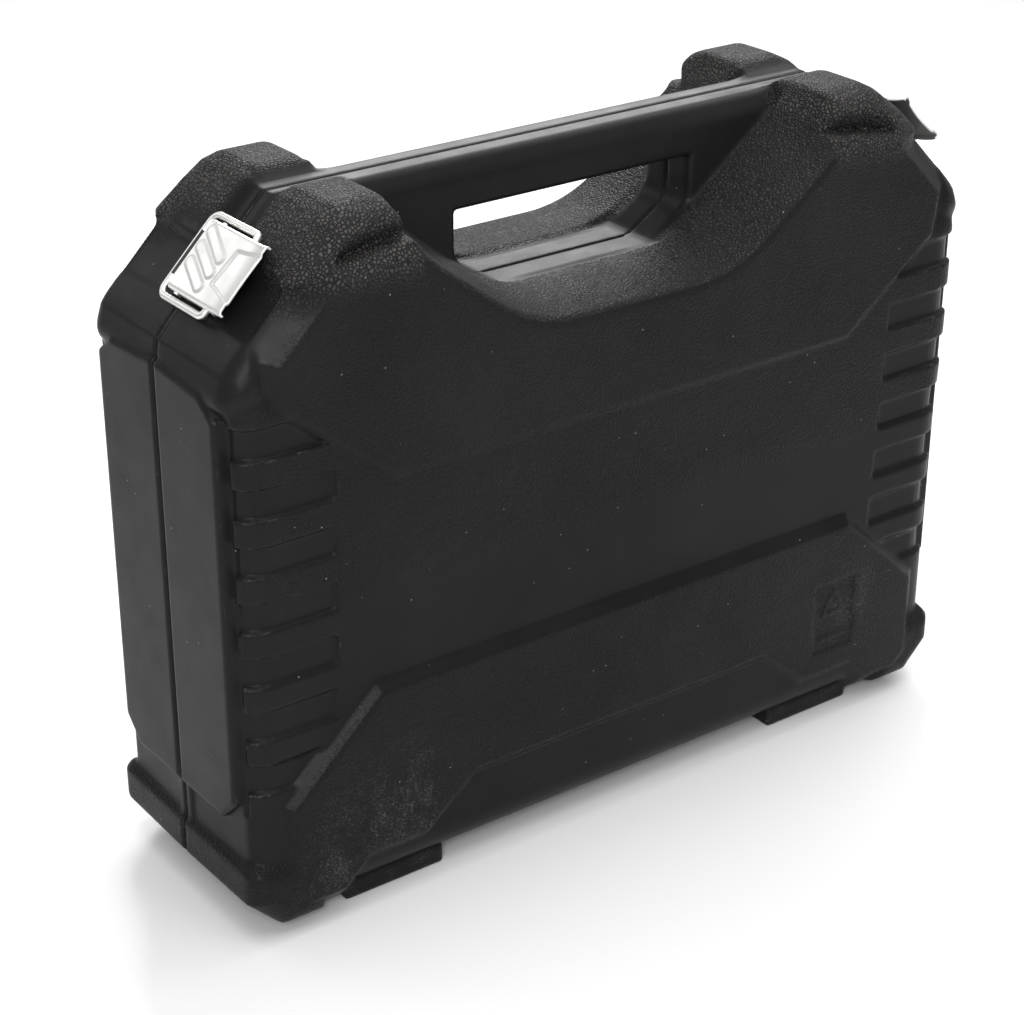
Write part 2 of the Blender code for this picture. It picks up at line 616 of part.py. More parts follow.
def socket_radius(size, drive):
    """Outer radius at the hexagon end: the wall grows with the size."""
    least = drive * 0.86 if drive > SMALL_DRIVE else drive * 0.93
    return max(size * HEX_CORNER + 2.0 + size * 0.045, least)


def drive_radius(size, drive):
    return max(drive * 0.86, min(socket_radius(size, drive), drive * 0.86 + size * 0.1))


def socket(size, drive, length, at):
    """A socket with its axis along Y and its hexagon facing the lid."""
    front = TOOL_FRONT
    outer = socket_radius(size, drive)
    rear = drive_radius(size, drive)
    waist = front + length * 0.5
    profile = [(front, outer - 0.7), (front + 0.7, outer), (waist, outer),
               (waist + max(outer - rear, 0.01), rear), (front + length, rear)]
    body = turned(profile, "Y", at, segments=18)
    hexagon = rod(size * HEX_CORNER + 0.06, front - 1.0, front + length * 0.45, "Y", at, segments=6)
    bore = rod(min(size, drive) * 0.42, front + 1.0, front + length * 0.6, "Y", at, segments=8)
    drive_hole = square_bar(drive + DRIVE_PLAY, front + length * 0.55, front + length + 1.0, "Y", at)
    return cut(body, hexagon, bore, drive_hole)


def extension(drive, length, x_start, z):
    """Extension bar along X: socketed end first, then the shank and the male square."""
    female = drive * 0.87
    shank = drive * 0.5
    centre_y = TOOL_FRONT + female
    tip = drive * 1.1
    shoulder = drive * 1.9
    end = x_start + length
    collar = end - tip
    profile = [(x_start, female - 0.6), (x_start + 0.6, female), (x_start + shoulder, female),
               (x_start + shoulder + 2.0, shank), (collar - shoulder * 0.4, shank),
               (collar - shoulder * 0.3, drive * 0.68), (collar, drive * 0.68)]
    bar = turned(profile, "X", (centre_y, z), segments=16)
    join(bar, square_bar(drive, collar - 1.0, end, "X", (centre_y, z)))
    hole = square_bar(drive + DRIVE_PLAY, x_start - 1.0, x_start + drive * 1.25, "X", (centre_y, z))
    return cut(bar, hole), centre_y, female


def ratchet(word, drive, length, x_head, z, steel, dark, grip_material):
    """Reversible ratchet lying along X with its square pointing into the tray."""
    scale = drive / BIG_DRIVE
    head = 19.0 * (0.62 + 0.38 * scale) * (1.0 if scale > 0.9 else 0.82)
    head_front = TOOL_FRONT + 2.4
    head_back = head_front + 11.0 + 11.0 * scale
    middle_y = (head_front + head_back) / 2
    neck = 4.0 + 3.0 * scale
    grip_radius = 8.0 + 5.0 * scale
    grip_length = length * 0.45
    grip_start = x_head - head + length - grip_length
    button_radius = 2.2 + 1.6 * scale
    selector_x = x_head + head * 0.62
    selector_radius = 2.6 + 2.0 * scale

    body = rod(head, head_front, head_back, "Y", (x_head, z), segments=24)
    chamfer(body, lambda p: True, 1.2)
    join(body, rod(neck * 1.25, x_head, grip_start + 14.0, "X", (middle_y, z), segments=16,
                   radius_end=neck * 0.85))
    cut(body, rod(button_radius + 0.4, head_front - 1.0, head_front + 5.0, "Y", (x_head, z), segments=16))
    finish(f"{word}_body", body, steel)

    grip_profile = [(grip_start, grip_radius * 0.72), (grip_start + 3.0, grip_radius * 0.86),
                    (grip_start + grip_length * 0.22, grip_radius * 0.78),
                    (grip_start + grip_length * 0.62, grip_radius),
                    (grip_start + grip_length * 0.94, grip_radius * 0.92),
                    (grip_start + grip_length, grip_radius * 0.7)]
    grip = turned(grip_profile, "X", (middle_y, z), segments=20)
    cut(grip, rod(neck * 1.25 + 0.3, grip_start - 1.0, grip_start + 16.0, "X", (middle_y, z), segments=16))
    finish(f"{word}_grip", grip, grip_material)

    disc_radius = drive * 0.86
    driver = rod(disc_radius, head_back + 0.3, head_back + 2.6, "Y", (x_head, z), segments=24)
    join(driver, square_bar(drive, head_back + 2.0, head_back + 2.6 + drive * 0.95, "Y", (x_head, z)))
    finish(f"{word}_drive", driver, steel, origin=(x_head, middle_y, z))

    button = rod(button_radius, head_front - 1.8, head_front + 2.6, "Y", (x_head, z), segments=16)
    finish(f"{word}_button", button, dark, origin=(x_head, middle_y, z))

    arm = 6.0 + 5.0 * scale
    knob = rod(selector_radius, head_front - 2.0, head_front - 0.3, "Y", (selector_x, z), segments=20)
    join(knob, box((selector_x, head_front - 1.9, z - selector_radius * 0.45),
                   (selector_x + arm, head_front - 0.4, z + selector_radius * 0.45)))
    finish(f"{word}_selector", knob, dark, origin=(selector_x, middle_y, z))
    return {
        "head": head, "grip_radius": grip_radius, "neck": neck, "middle_y": middle_y,
        "deepest": head_back + 2.6 + drive * 0.95, "end": grip_start + grip_length,
        "grip_start": grip_start, "disc": disc_radius, "head_back": head_back,
    }


def spinner(x_start, z, steel, grip_material):
    """Spinner handle: a moulded grip on a shank with a small square."""
    grip_radius = 13.0
    middle_y = TOOL_FRONT + grip_radius
    grip_length = 92.0
    shank_radius = 3.6
    length = 150.0
    profile = [(x_start, 8.0), (x_start + 4.0, 12.0), (x_start + 30.0, grip_radius),
               (x_start + 66.0, 10.5), (x_start + 84.0, 12.0), (x_start + grip_length, 8.0)]
    grip = turned(profile, "X", (middle_y, z), segments=24)
    at = (middle_y, z)
    root, end = x_start + 60.0, x_start + length
    cut(grip, rod(shank_radius + 0.3, root, x_start + grip_length + 1.0, "X", at, segments=16))
    finish("spinner_grip", grip, grip_material)
    shank = rod(shank_radius, root + 0.5, end - 7.0, "X", at, segments=16)
    join(shank, rod(SPINNER_COLLAR, end - 16.0, end - 7.0, "X", at, segments=20))
    join(shank, square_bar(SMALL_DRIVE, end - 8.0, end, "X", at))
    finish("spinner_shank", shank, steel)
    return middle_y, grip_radius, grip_length, length


def tee_bar(x_start, z, steel):
    """Sliding tee: a rod with two stop rings, and a head that slides along it."""
    middle_y = TOOL_FRONT + 12.0
    end = x_start + TEE_LENGTH
    bar = rod(TEE_RADIUS, x_start, end, "X", (middle_y, z), segments=16)
    for stop in (x_start + 3.0, end - 6.0):
        join(bar, rod(TEE_RADIUS + 1.0, stop, stop + 3.0, "X", (middle_y, z), segments=16))
    finish("tee_bar_rod", bar, steel)
    centre = (x_start + end) / 2
    head = rod(TEE_HEAD_RADIUS, TOOL_FRONT, TOOL_FRONT + TEE_HEAD_LENGTH, "Y", (centre, z), segments=20)
    chamfer(head, lambda p: True, 1.0)
    far = TOOL_FRONT + TEE_HEAD_LENGTH
    join(head, square_bar(BIG_DRIVE, far - 1.0, far + TEE_DRIVE_LENGTH, "Y", (centre, z)))
    cut(head, rod(TEE_RADIUS + 0.35, centre - 20.0, centre + 20.0, "X", (middle_y, z), segments=16))
    finish("tee_bar_head", head, steel, origin=(centre, middle_y, z))
    return far + TEE_DRIVE_LENGTH


# ------------------------------------------------------------------ trays
def tray_outline():
    """The tray's edge, a small gap inside the hollow of the half."""
    gap = WALL + 0.5 + TRAY_EDGE_GAP
    edge = RIB_HALF - gap
    floor = BASE_HEIGHT + WALL + TRAY_EDGE_GAP
    return mirrored([
        (edge - 9.0, floor), (edge, floor + 9.0), (edge, SHOULDER_SUM - edge - gap - 1.0),
        (SHOULDER_X - 3.0, SHOULDER_SUM - SHOULDER_X + 2.0 - 1.5 * gap),
        (SCOOP_PAD_HALF + gap + 1.0, TOP - gap - 4.0),
        (SCOOP_LIP_HALF + gap + 2.0, TOP - HANDLE_DEEP - gap - 5.5),
        (SCOOP_FACE_HALF + 3.5, SADDLE - SCOOP_SINK - 1.5 - gap)])


class Tray:
    """Collects pockets, then makes one thin-walled tray from them."""

    def __init__(self):
        self.cups = []
        self.hollows = []

    def round_pocket(self, radius, depth, at, segments=12):
        bottom = TOOL_FRONT + depth + FIT
        corner = radius / math.cos(math.pi / segments) + FIT
        wall = POCKET_WALL
        self.cups.append(rod(corner + wall, TRAY_FACE + 0.5, bottom + wall, "Y", at, segments=segments))
        self.hollows.append(rod(corner, TRAY_FACE - 2.0, bottom, "Y", at, segments=segments))

    def box_pocket(self, x_low, x_high, z_low, z_high, bottom):
        low = (x_low - FIT, TRAY_FACE - 2.0, z_low - FIT)
        high = (x_high + FIT, bottom + FIT, z_high + FIT)
        wall = POCKET_WALL
        self.hollows.append(box(low, high))
        self.cups.append(box((low[0] - wall, TRAY_FACE + 0.5, low[2] - wall),
                             (high[0] + wall, high[1] + wall, high[2] + wall)))

    def build(self):
        sheet = outline(tray_outline(), TRAY_FACE, TRAY_FACE + TRAY_SHEET)
        join(sheet, *self.cups)
        cut(sheet, *self.hollows)
        return sheet


def row_of_sockets(tray, word, sizes, drive, length, z, steel):
    left = ROW_LEFT
    for size in sizes:
        radius = max(socket_radius(size, drive), drive_radius(size, drive))
        centre = left + radius
        finish(f"{word}_{size}", socket(size, drive, length, (centre, z)), steel)
        tray.round_pocket(radius, length, (centre, z))
        left = centre + radius + SOCKET_SPACING
    return left


def lying_bar(tray, name, drive, x_start, z, steel):
    length = EXTENSION_LENGTHS[name]
    bar, middle_y, radius = extension(drive, length, x_start, z)
    finish(name, bar, steel)
    tray.box_pocket(x_start, x_start + length, z - radius, z + radius, middle_y + radius)


def make_tools(tray, steel, dark, grip_material):
    row_of_sockets(tray, "large_socket", BIG_SOCKETS, BIG_DRIVE, BIG_SOCKET_LENGTH, ROW_BIG_SOCKETS, steel)
    after = row_of_sockets(tray, "small_socket", SMALL_SOCKETS, SMALL_DRIVE, SMALL_SOCKET_LENGTH,
                           ROW_SMALL_SOCKETS, steel)
    lying_bar(tray, "extension_long", BIG_DRIVE, ROW_LEFT, ROW_EXTENSION, steel)
    lying_bar(tray, "extension_short", BIG_DRIVE, after + 8.0, ROW_SMALL_SOCKETS, steel)
    lying_bar(tray, "small_extension_long", SMALL_DRIVE, -45.0, ROW_TOP, steel)
    lying_bar(tray, "small_extension_short", SMALL_DRIVE, 100.0, ROW_TEE, steel)
    first = ROW_LEFT + EXTENSION_LENGTHS["extension_long"] + PLUG_SPACING + 2.0
    for index, size in enumerate(PLUG_SOCKETS):
        at = (first + index * PLUG_SPACING, ROW_EXTENSION)
        finish(f"plug_socket_{size}", socket(size, BIG_DRIVE, PLUG_LENGTH, at), steel)
        tray.round_pocket(socket_radius(size, BIG_DRIVE), PLUG_LENGTH, at)

    for word, drive, x_head, z in (
            ("ratchet_large", BIG_DRIVE, ROW_LEFT + 22.0, ROW_BIG_RATCHET),
            ("ratchet_small", SMALL_DRIVE, ROW_LEFT + 16.0, ROW_SMALL_RATCHET)):
        made = ratchet(word, drive, RATCHET_LENGTHS[word], x_head, z, steel, dark, grip_material)
        tray.round_pocket(made["head"], made["head_back"] - TOOL_FRONT, (x_head, z), segments=16)
        tray.round_pocket(made["disc"], made["deepest"] - TOOL_FRONT, (x_head, z))
        low_y = made["middle_y"] + made["neck"] * 1.25
        tray.box_pocket(x_head, made["grip_start"], z - made["neck"] * 1.25, z + made["neck"] * 1.25, low_y)
        grip = made["grip_radius"]
        tray.box_pocket(made["grip_start"], made["end"], z - grip, z + grip, made["middle_y"] + grip)

    x_start, row = 10.0, ROW_SMALL_RATCHET
    middle_y, radius, grip_length, length = spinner(x_start, row, steel, grip_material)
    tray.box_pocket(x_start, x_start + grip_length, row - radius, row + radius, middle_y + radius)
    tray.box_pocket(x_start + grip_length, x_start + length, row - SPINNER_COLLAR, row + SPINNER_COLLAR,
                    middle_y + SPINNER_COLLAR)
    deepest = tee_bar(ROW_LEFT, ROW_TEE, steel)
    tray.box_pocket(ROW_LEFT, ROW_LEFT + TEE_LENGTH, ROW_TEE - TEE_HEAD_RADIUS, ROW_TEE + TEE_HEAD_RADIUS,
                    deepest)


def lid_liner():
    """Flat panel inside the lid that keeps the tools in their pockets, ribbed behind."""
    back = -LINER_FACE - TRAY_SHEET
    sheet = outline(tray_outline(), back, -LINER_FACE)
    rib, deep = 2.0, 4.0
    for x in (-120.0, -60.0, 0.0, 60.0, 120.0):
        join(sheet, box((x - rib / 2, back - deep, 30.0), (x + rib / 2, back + 0.8, 220.0)))
    for z in (60.0, 125.0, 190.0):
        join(sheet, box((-160.0, back - deep + 0.5, z - rib / 2), (160.0, back + 0.8, z + rib / 2)))
    return sheet


def main():
    start_scene()
    plastic = material("moulded_black", (0.012, 0.012, 0.013), 0.5)
    tray_plastic = material("tray_grey", (0.05, 0.05, 0.055), 0.6)
    steel = material("plated_steel", (0.72, 0.73, 0.72), 0.22, 1.0)
    chrome = material("chrome_vanadium", (0.66, 0.67, 0.68), 0.18, 1.0)
    dark = material("black_button", (0.02, 0.02, 0.02), 0.4)
    grip_material = material("grip_rubber", (0.015, 0.015, 0.016), 0.7)

    half_case("front_shell", -1, plastic)
    half_case("back_shell", 1, plastic)
    for word, across in (("left", -1), ("right", 1)):
        hinge_pin(f"hinge_pin_{word}", across, steel)
        latch(word, across, steel, plastic)
    tray = Tray()
    make_tools(tray, chrome, dark, grip_material)
    finish("back_tray", tray.build(), tray_plastic)
    finish("lid_liner", lid_liner(), tray_plastic)


main()
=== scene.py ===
"""Looks of the socket wrench set in its case, laid out as a Blender add-on.

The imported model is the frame: its nodes give every place and size. This file makes the case's
grained skins, the pressed latches and the finish of the tools, in metres, with lengths written
in millimetres and scaled by MM.
"""

import math

import bmesh
import bpy
import numpy as np
from mathutils import Matrix, Vector


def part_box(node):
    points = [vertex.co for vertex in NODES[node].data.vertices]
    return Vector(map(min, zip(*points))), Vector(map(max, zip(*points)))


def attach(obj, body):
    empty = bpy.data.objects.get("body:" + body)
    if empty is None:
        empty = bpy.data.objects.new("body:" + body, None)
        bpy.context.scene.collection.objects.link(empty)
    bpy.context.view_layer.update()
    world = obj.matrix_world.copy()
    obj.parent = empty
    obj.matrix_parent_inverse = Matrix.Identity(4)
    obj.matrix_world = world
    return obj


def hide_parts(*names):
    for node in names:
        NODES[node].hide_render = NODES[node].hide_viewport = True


bl_info = {
    "name": "Socket Wrench Case",
    "version": (1, 0, 0),
    "blender": (4, 5, 0),
    "location": "3D View > Sidebar > Tool Case",
    "description": "Makes the moulded case, its latches and its tools around the packed model",
    "category": "Object",
}

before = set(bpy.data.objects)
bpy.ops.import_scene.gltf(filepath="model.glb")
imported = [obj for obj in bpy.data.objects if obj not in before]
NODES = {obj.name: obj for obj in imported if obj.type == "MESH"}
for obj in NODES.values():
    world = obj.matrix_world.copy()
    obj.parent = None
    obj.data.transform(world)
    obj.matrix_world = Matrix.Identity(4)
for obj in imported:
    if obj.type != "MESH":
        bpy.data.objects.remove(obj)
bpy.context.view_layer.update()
MM = 0.001


# ------------------------------------------------------------------ places taken from the frame
def corner(node, which):
    """A node's lowest (0) or highest (1) corner, in millimetres."""
    return np.array(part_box(node)[which]) / MM


TOP = corner("back_shell", 1)[2]              # top of the shoulder pads
HALF_THICK = corner("back_shell", 1)[1]       # seam plane to the plateaus
HALF_WIDE = corner("back_shell", 1)[0]        # middle to the side panels
PAD_RISE, PLATEAU_RISE, PANEL_RISE = 4.0, 4.5, 3.0
FACE = HALF_THICK - PLATEAU_RISE
RIB_X = HALF_WIDE - PANEL_RISE
HANDLE_TOP = TOP - PAD_RISE
SHOULDER = 50.0
SHOULDER_X = RIB_X - SHOULDER + 1.0
SHOULDER_SUM = SHOULDER_X + HANDLE_TOP        # x + z anywhere on a shoulder
LATCH_X = SHOULDER_X + SHOULDER / 2
LATCH_Z = SHOULDER_SUM - LATCH_X
BASE = 8.0
BUMPER_LOW = 4.0
HANDLE_HALF, HANDLE_DEEP, GRIP_HIGH = 15.0, 20.5, 34.5
SADDLE = HANDLE_TOP - HANDLE_DEEP - GRIP_HIGH
SEAM = 0.15
HINGE_Z = 3.5
FAR = 400.0                                   # past the object, to close an outline in x = 0


# ------------------------------------------------------------------ sculpting by distance fields
def outline_distance(x, z, points):
    """Signed distance to a closed outline, negative inside."""
    best = np.full(np.broadcast(x, z).shape, 1e9, dtype=np.float32)
    inside = np.zeros(best.shape, dtype=bool)
    for (ax, az), (bx, bz) in zip(points, points[1:] + points[:1]):
        ex, ez = bx - ax, bz - az
        px, pz = x - ax, z - az
        along = np.clip((px * ex + pz * ez) / (ex * ex + ez * ez), 0.0, 1.0)
        best = np.minimum(best, (px - along * ex) ** 2 + (pz - along * ez) ** 2)
        crosses = (az > z) != (bz > z)
        with np.errstate(divide="ignore", invalid="ignore"):
            where = ax + (z - az) / (bz - az) * ex if bz != az else np.inf
        inside ^= crosses & (x < where)
    return np.where(inside, -np.sqrt(best), np.sqrt(best))


def blend_in(one, two, soft):
    """Union of two fields with a soft fillet."""
    mix = np.clip(0.5 + 0.5 * (two - one) / soft, 0.0, 1.0)
    return two * (1 - mix) + one * mix - soft * mix * (1 - mix)


def meet(one, two, soft):
    """Where both fields are solid, with a soft edge."""
    return -blend_in(-one, -two, soft)


def carve(solid, hollow, soft):
    return meet(solid, -hollow, soft)


def meet_round(one, two, radius):
    """Where both fields are solid, with a true round edge."""
    return (np.minimum(np.maximum(one, two) + radius, 0.0) - radius
            + np.sqrt(np.maximum(one + radius, 0.0) ** 2 + np.maximum(two + radius, 0.0) ** 2))


def smooth_step(value, low, high):
    share = np.clip((value - low) / (high - low), 0.0, 1.0)
    return share * share * (3 - 2 * share)


def between(value, low, high):
    return np.maximum(low - value, value - high)


class HalfShape:
    """The outside of one half of the case as a distance field. y runs out from the seam plane."""

    DRAFT = 0.018                             # how far the sides lean in for each millimetre out
    ROUND, LONG = 8.0, 1.6                    # a corner's radius, and how much longer it is along the face
    LEAN = 2.6                                # the plain face leans out by this much towards the upper plateau
    BAND_COUNT, BAND_HIGH, BAND_PITCH, BAND_LOW = 7, 12.5, 24.2, 69.0
    BAND_DEPTH, BAND_END = 2.1, 144.5
    UPPER_EDGE, LOWER_EDGE = 5.0, 4.6         # widths of the plateaus' sloping edges
    BULGE_LOW, BULGE_DROP, BULGE_IN = 231.0, 9.0, 174.5
    BUMPER_TOP, BUMPER_IN = 37.0, 153.0
    PANEL_LOW, PANEL_TOP, PANEL_FRONT, PANEL_CUT = 53.0, 240.0, 45.0, 11.0
    GROOVE_Y, GROOVE_HALF, GROOVE_DEEP = 45.9, 0.95, 3.2
    DENT_LEFT, DENT_RIGHT, DENT_LOW, DENT_DEEP = 98.0, 140.0, 283.5, 6.0
    SCOOP_FOOT, SCOOP_LIP, SCOOP_LIP_Z, SCOOP_TOP = 43.0, 101.0, 276.5, 111.0
    GRIP_BEND, GRIP_FLAT, GRIP_END, GRIP_SIDE = 12.0, 36.0, 60.0, 261.0
    BEVEL_HIGH, BEVEL_DEEP, BEVEL_END = 7.0, 5.5, 109.0
    WALL, INNER_ROUND = 4.0, 15.0
    LID_FOOT, BACK_FOOT, KNUCKLE_GAP = (92.4, 141.6), (83.0, 151.0), (92.0, 142.0)
    FOOT_DEEP, BARREL, PIN_BORE, BORE_SPAN = 48.0, 3.3, 1.75, (80.0, 154.0)
    MARK_X, MARK_Z, MARK_HALF, MARK_TALL, MARK_DEEP = 121.0, 55.0, 11.5, 17.0, 0.9
    UPPER = [(-FAR, 189.5), (119.0, 189.5), (169.5, 229.0), (172.5, 251.0), (142.0, 281.5), (-FAR, 281.5)]
    LOWER = [(-FAR, 43.0), (79.0, 43.0), (104.5, 22.0), (132.5, 22.0), (145.0, 10.0),
             (164.0, 10.0), (174.0, 18.0), (174.0, 61.0), (128.0, 104.0), (-FAR, 104.0)]
    PAD = [(100.0, 280.0), (110.0, TOP + 0.4), (133.0, TOP + 0.4), (144.0, TOP - 8.0), (158.0, 278.0),
           (138.0, 273.0)]

    def __init__(self, side):
        self.side = side

    def body(self, x, y, z):
        edge = 11.0
        flat = outline_distance(x, z, [
            (-FAR, BASE), (RIB_X - edge, BASE), (RIB_X, BASE + edge),
            (RIB_X, SHOULDER_SUM - RIB_X), (SHOULDER_X, HANDLE_TOP), (-FAR, HANDLE_TOP)])
        return meet_round(flat / self.LONG + self.DRAFT * y, y - self.face(z), self.ROUND)

    def face(self, z):
        """How far out the plain face lies at a height."""
        return FACE + self.LEAN * smooth_step(z, 108.0, 192.0) * smooth_step(z, 239.0, 229.0)

    def bands(self, x, y, z):
        """Shallow bands that wrap each vertical corner."""
        skin = meet_round((x - RIB_X + self.BAND_DEPTH) / self.LONG + self.DRAFT * y,
                          y - (self.face(z) - self.BAND_DEPTH), self.ROUND - 1.0)
        outside = -skin
        lowest = self.BAND_LOW + self.BAND_HIGH / 2
        step = np.clip(np.round((z - lowest) / self.BAND_PITCH), 0, self.BAND_COUNT - 1)
        middle = lowest + step * self.BAND_PITCH
        height = np.abs(z - middle) - self.BAND_HIGH / 2
        return meet(meet(height, self.BAND_END - x, 0.8), outside, 0.5)

    def raised(self, x, y, z, points, width):
        """A plateau with sloping edges."""
        edge = outline_distance(x, z, points)
        slope = (edge * PLATEAU_RISE + (y - FACE) * width) / math.hypot(width, PLATEAU_RISE)
        return np.maximum(meet(slope, y - HALF_THICK, 0.4), FACE - 6.0 - y)

    def bulge(self, x, y, z):
        """Rounded swelling at the foot of each shoulder, its lower edge rising towards the seam."""
        low = self.BULGE_LOW + self.BULGE_DROP * np.clip(1 - y / 14.0, 0.0, 1.0) ** 2
        flat = meet_round(x - HALF_WIDE, (x + z - SHOULDER_SUM) * math.sqrt(0.5), 9.0)
        flat = meet(flat, low - z, 7.0)
        front = meet_round(flat / 1.3 + 0.01 * y, y - (FACE + 2.8), 12.0)
        return meet(front, self.BULGE_IN - x, 3.5)

    def bumper(self, x, y, z):
        top = self.BUMPER_TOP
        flat = outline_distance(x, z, [
            (self.BUMPER_IN, BUMPER_LOW), (HALF_WIDE - 15.0, BUMPER_LOW), (HALF_WIDE, BUMPER_LOW + 15.0),
            (HALF_WIDE, top - 4.0), (HALF_WIDE - 4.0, top), (self.BUMPER_IN, top)])
        return meet_round(flat + 0.012 * y, y - (HALF_THICK - 0.8), 9.0)

    def side_panel(self, x, y, z):
        low, top, front, cut = self.PANEL_LOW, self.PANEL_TOP, self.PANEL_FRONT, self.PANEL_CUT
        panel = outline_distance(y, z, [
            (-9.0, low), (front - cut, low), (front, low + cut), (front, top - cut), (front - cut, top - 3.0),
            (-9.0, top)])
        return meet(meet(panel, x - HALF_WIDE, 1.4), 176.0 - x, 0.5)

    def groove(self, x, y, z):
        """Deep narrow gap between the side panel and the ribbed corner."""
        across = np.abs(y - self.GROOVE_Y) - self.GROOVE_HALF
        high = between(z, self.PANEL_LOW + 5.0, self.PANEL_TOP - self.PANEL_CUT)
        return np.maximum(np.maximum(across, (RIB_X - self.GROOVE_DEEP) - x), high)

    def pads(self, x, y, z):
        flat = outline_distance(x, z, self.PAD)
        inner = (HANDLE_HALF - 3.0 - y) * 0.75
        front = ((y - FACE) * 17.0 + (z - 283.0) * 8.0) / math.hypot(17.0, 8.0)
        return meet_round(meet(flat, inner, 6.0), front, 8.0)

    def dent(self, x, y, z):
        """Long wedge cut above the plateau, in front of each pad, deepest in its middle."""
        left, right = self.DENT_LEFT, self.DENT_RIGHT
        share = np.clip((x - left) / (right - left), 0.0, 1.0)
        deep = self.DENT_DEEP * np.sqrt(np.clip(1 - (2 * share - 1) ** 2, 0.0, 1.0))
        lower = self.DENT_LOW - 0.12 * (x - (left + right) / 2)
        slant = ((z - lower - 9.0) * 0.55 + (FACE + PLATEAU_RISE - y) * 0.83) / 0.996
        wedge = np.maximum(np.maximum(lower - z, slant - deep + 0.4), between(x, left, right))
        return np.maximum(wedge, z - lower - 15.0)

    def scoop(self, x, y, z):
        """Everything in front of the handle, from the saddle to the sky."""
        near = np.clip((y - HANDLE_HALF) / (HALF_THICK - HANDLE_HALF), -0.4, 1.0)
        floor = SADDLE - 3.0 * np.clip(near, 0.0, 1.0) ** 2
        foot = self.SCOOP_FOOT + 7.5 * near
        lip_x = self.SCOOP_LIP + 4.0 * (1 - near)
        lip_z = self.SCOOP_LIP_Z + 13.0 * (1 - near)
        ex, ez = lip_x - foot, lip_z - floor
        length = np.sqrt(ex * ex + ez * ez)
        slope = ((x - foot) * ez - (z - floor) * ex) / length
        ex, ez = self.SCOOP_TOP - lip_x, TOP + 1.0 - lip_z
        length = np.sqrt(ex * ex + ez * ez)
        steep = ((x - lip_x) * ez - (z - lip_z) * ex) / length
        across = meet(meet(floor - z, slope, 14.0), steep, 5.0)
        return meet(across, HANDLE_HALF - y, 1.5)

    def grip(self, x, y, z):
        """The hole for the fingers, its ends rounded."""
        bend, end, under = self.GRIP_BEND, self.GRIP_END - self.GRIP_BEND, HANDLE_TOP - HANDLE_DEEP
        hole = outline_distance(x, z, [
            (-FAR, SADDLE + bend), (self.GRIP_FLAT, SADDLE + bend), (end, self.GRIP_SIDE), (end, under + bend),
            (-FAR, under + bend)]) - bend
        return np.maximum(np.maximum(hole, z - under), y - HANDLE_HALF - 3.0)

    def handle_bevel(self, x, y, z):
        high, deep = self.BEVEL_HIGH, self.BEVEL_DEEP
        slant = ((y - HANDLE_HALF) * high + (z - HANDLE_TOP + high) * deep) / math.hypot(high, deep)
        return np.maximum(np.maximum(-slant, x - self.BEVEL_END), y - HANDLE_HALF - 1.5)

    def hollow(self, x, y, z):
        """The inside, a wall in from the skin and under the scoop."""
        skin = self.WALL
        edge = RIB_X - skin
        flat = outline_distance(x, z, [
            (-FAR, BASE + 3.5), (edge - 8.0, BASE + 3.5), (edge, BASE + 11.5), (edge, SHOULDER_SUM - edge - skin),
            (SHOULDER_X - 2.0, HANDLE_TOP + 2.0 - 1.5 * skin), (self.SCOOP_TOP + skin, HANDLE_TOP - skin - 2.0),
            (102.0 + skin, HANDLE_TOP - HANDLE_DEEP - skin - 4.0), (53.0, SADDLE - 3.0 - skin),
            (-FAR, SADDLE - 3.0 - skin)])
        inside = meet_round(flat, y - (FACE - 3.8), self.INNER_ROUND)
        for cut, wall in ((self.scoop, 3.6), (self.dent, 2.6), (self.groove, 2.2)):
            inside = np.maximum(inside, wall - cut(x, y, z))
        return inside

    def foot(self, x, y, z):
        """A foot with its half of the hinge's knuckles."""
        low, high = self.LID_FOOT if self.side < 0 else self.BACK_FOOT
        block = np.maximum(between(x, low, high), between(z, 0.0, BASE + 1.5))
        block = np.maximum(meet(block, between(y, 2.5, self.FOOT_DEEP), 1.5), 0.0 - z)
        barrel = np.maximum(np.sqrt(y ** 2 + (z - HINGE_Z) ** 2) - self.BARREL, between(x, low, high))
        neck = np.maximum(between(x, low, high), np.maximum(between(y, 0.0, 4.0), between(z, HINGE_Z, BASE + 1.0)))
        solid = np.minimum(np.minimum(block, barrel), neck)
        if self.side > 0:
            solid = np.maximum(solid, -between(x, *self.KNUCKLE_GAP))
        return solid

    def mark(self, x, y, z):
        """Shallow square with a plain triangle left standing in it, on the lid only."""
        aside = np.abs(x - self.MARK_X)
        square = np.maximum(aside - self.MARK_HALF, np.abs(z - self.MARK_Z) - self.MARK_TALL) - 0.6
        tall = z - (self.MARK_Z + 5.0)
        slant = 0.866 * aside + 0.5 * tall
        triangle = np.maximum(slant - 4.2, -tall - 4.2)
        ring = np.abs(triangle + 0.3) - 0.9
        bar = np.maximum(aside - 8.0, np.abs(z - (self.MARK_Z - 11.0)) - 1.6)
        hollow = np.maximum(square, -np.minimum(ring, bar))
        return np.maximum(hollow, (HALF_THICK - self.MARK_DEEP) - y)

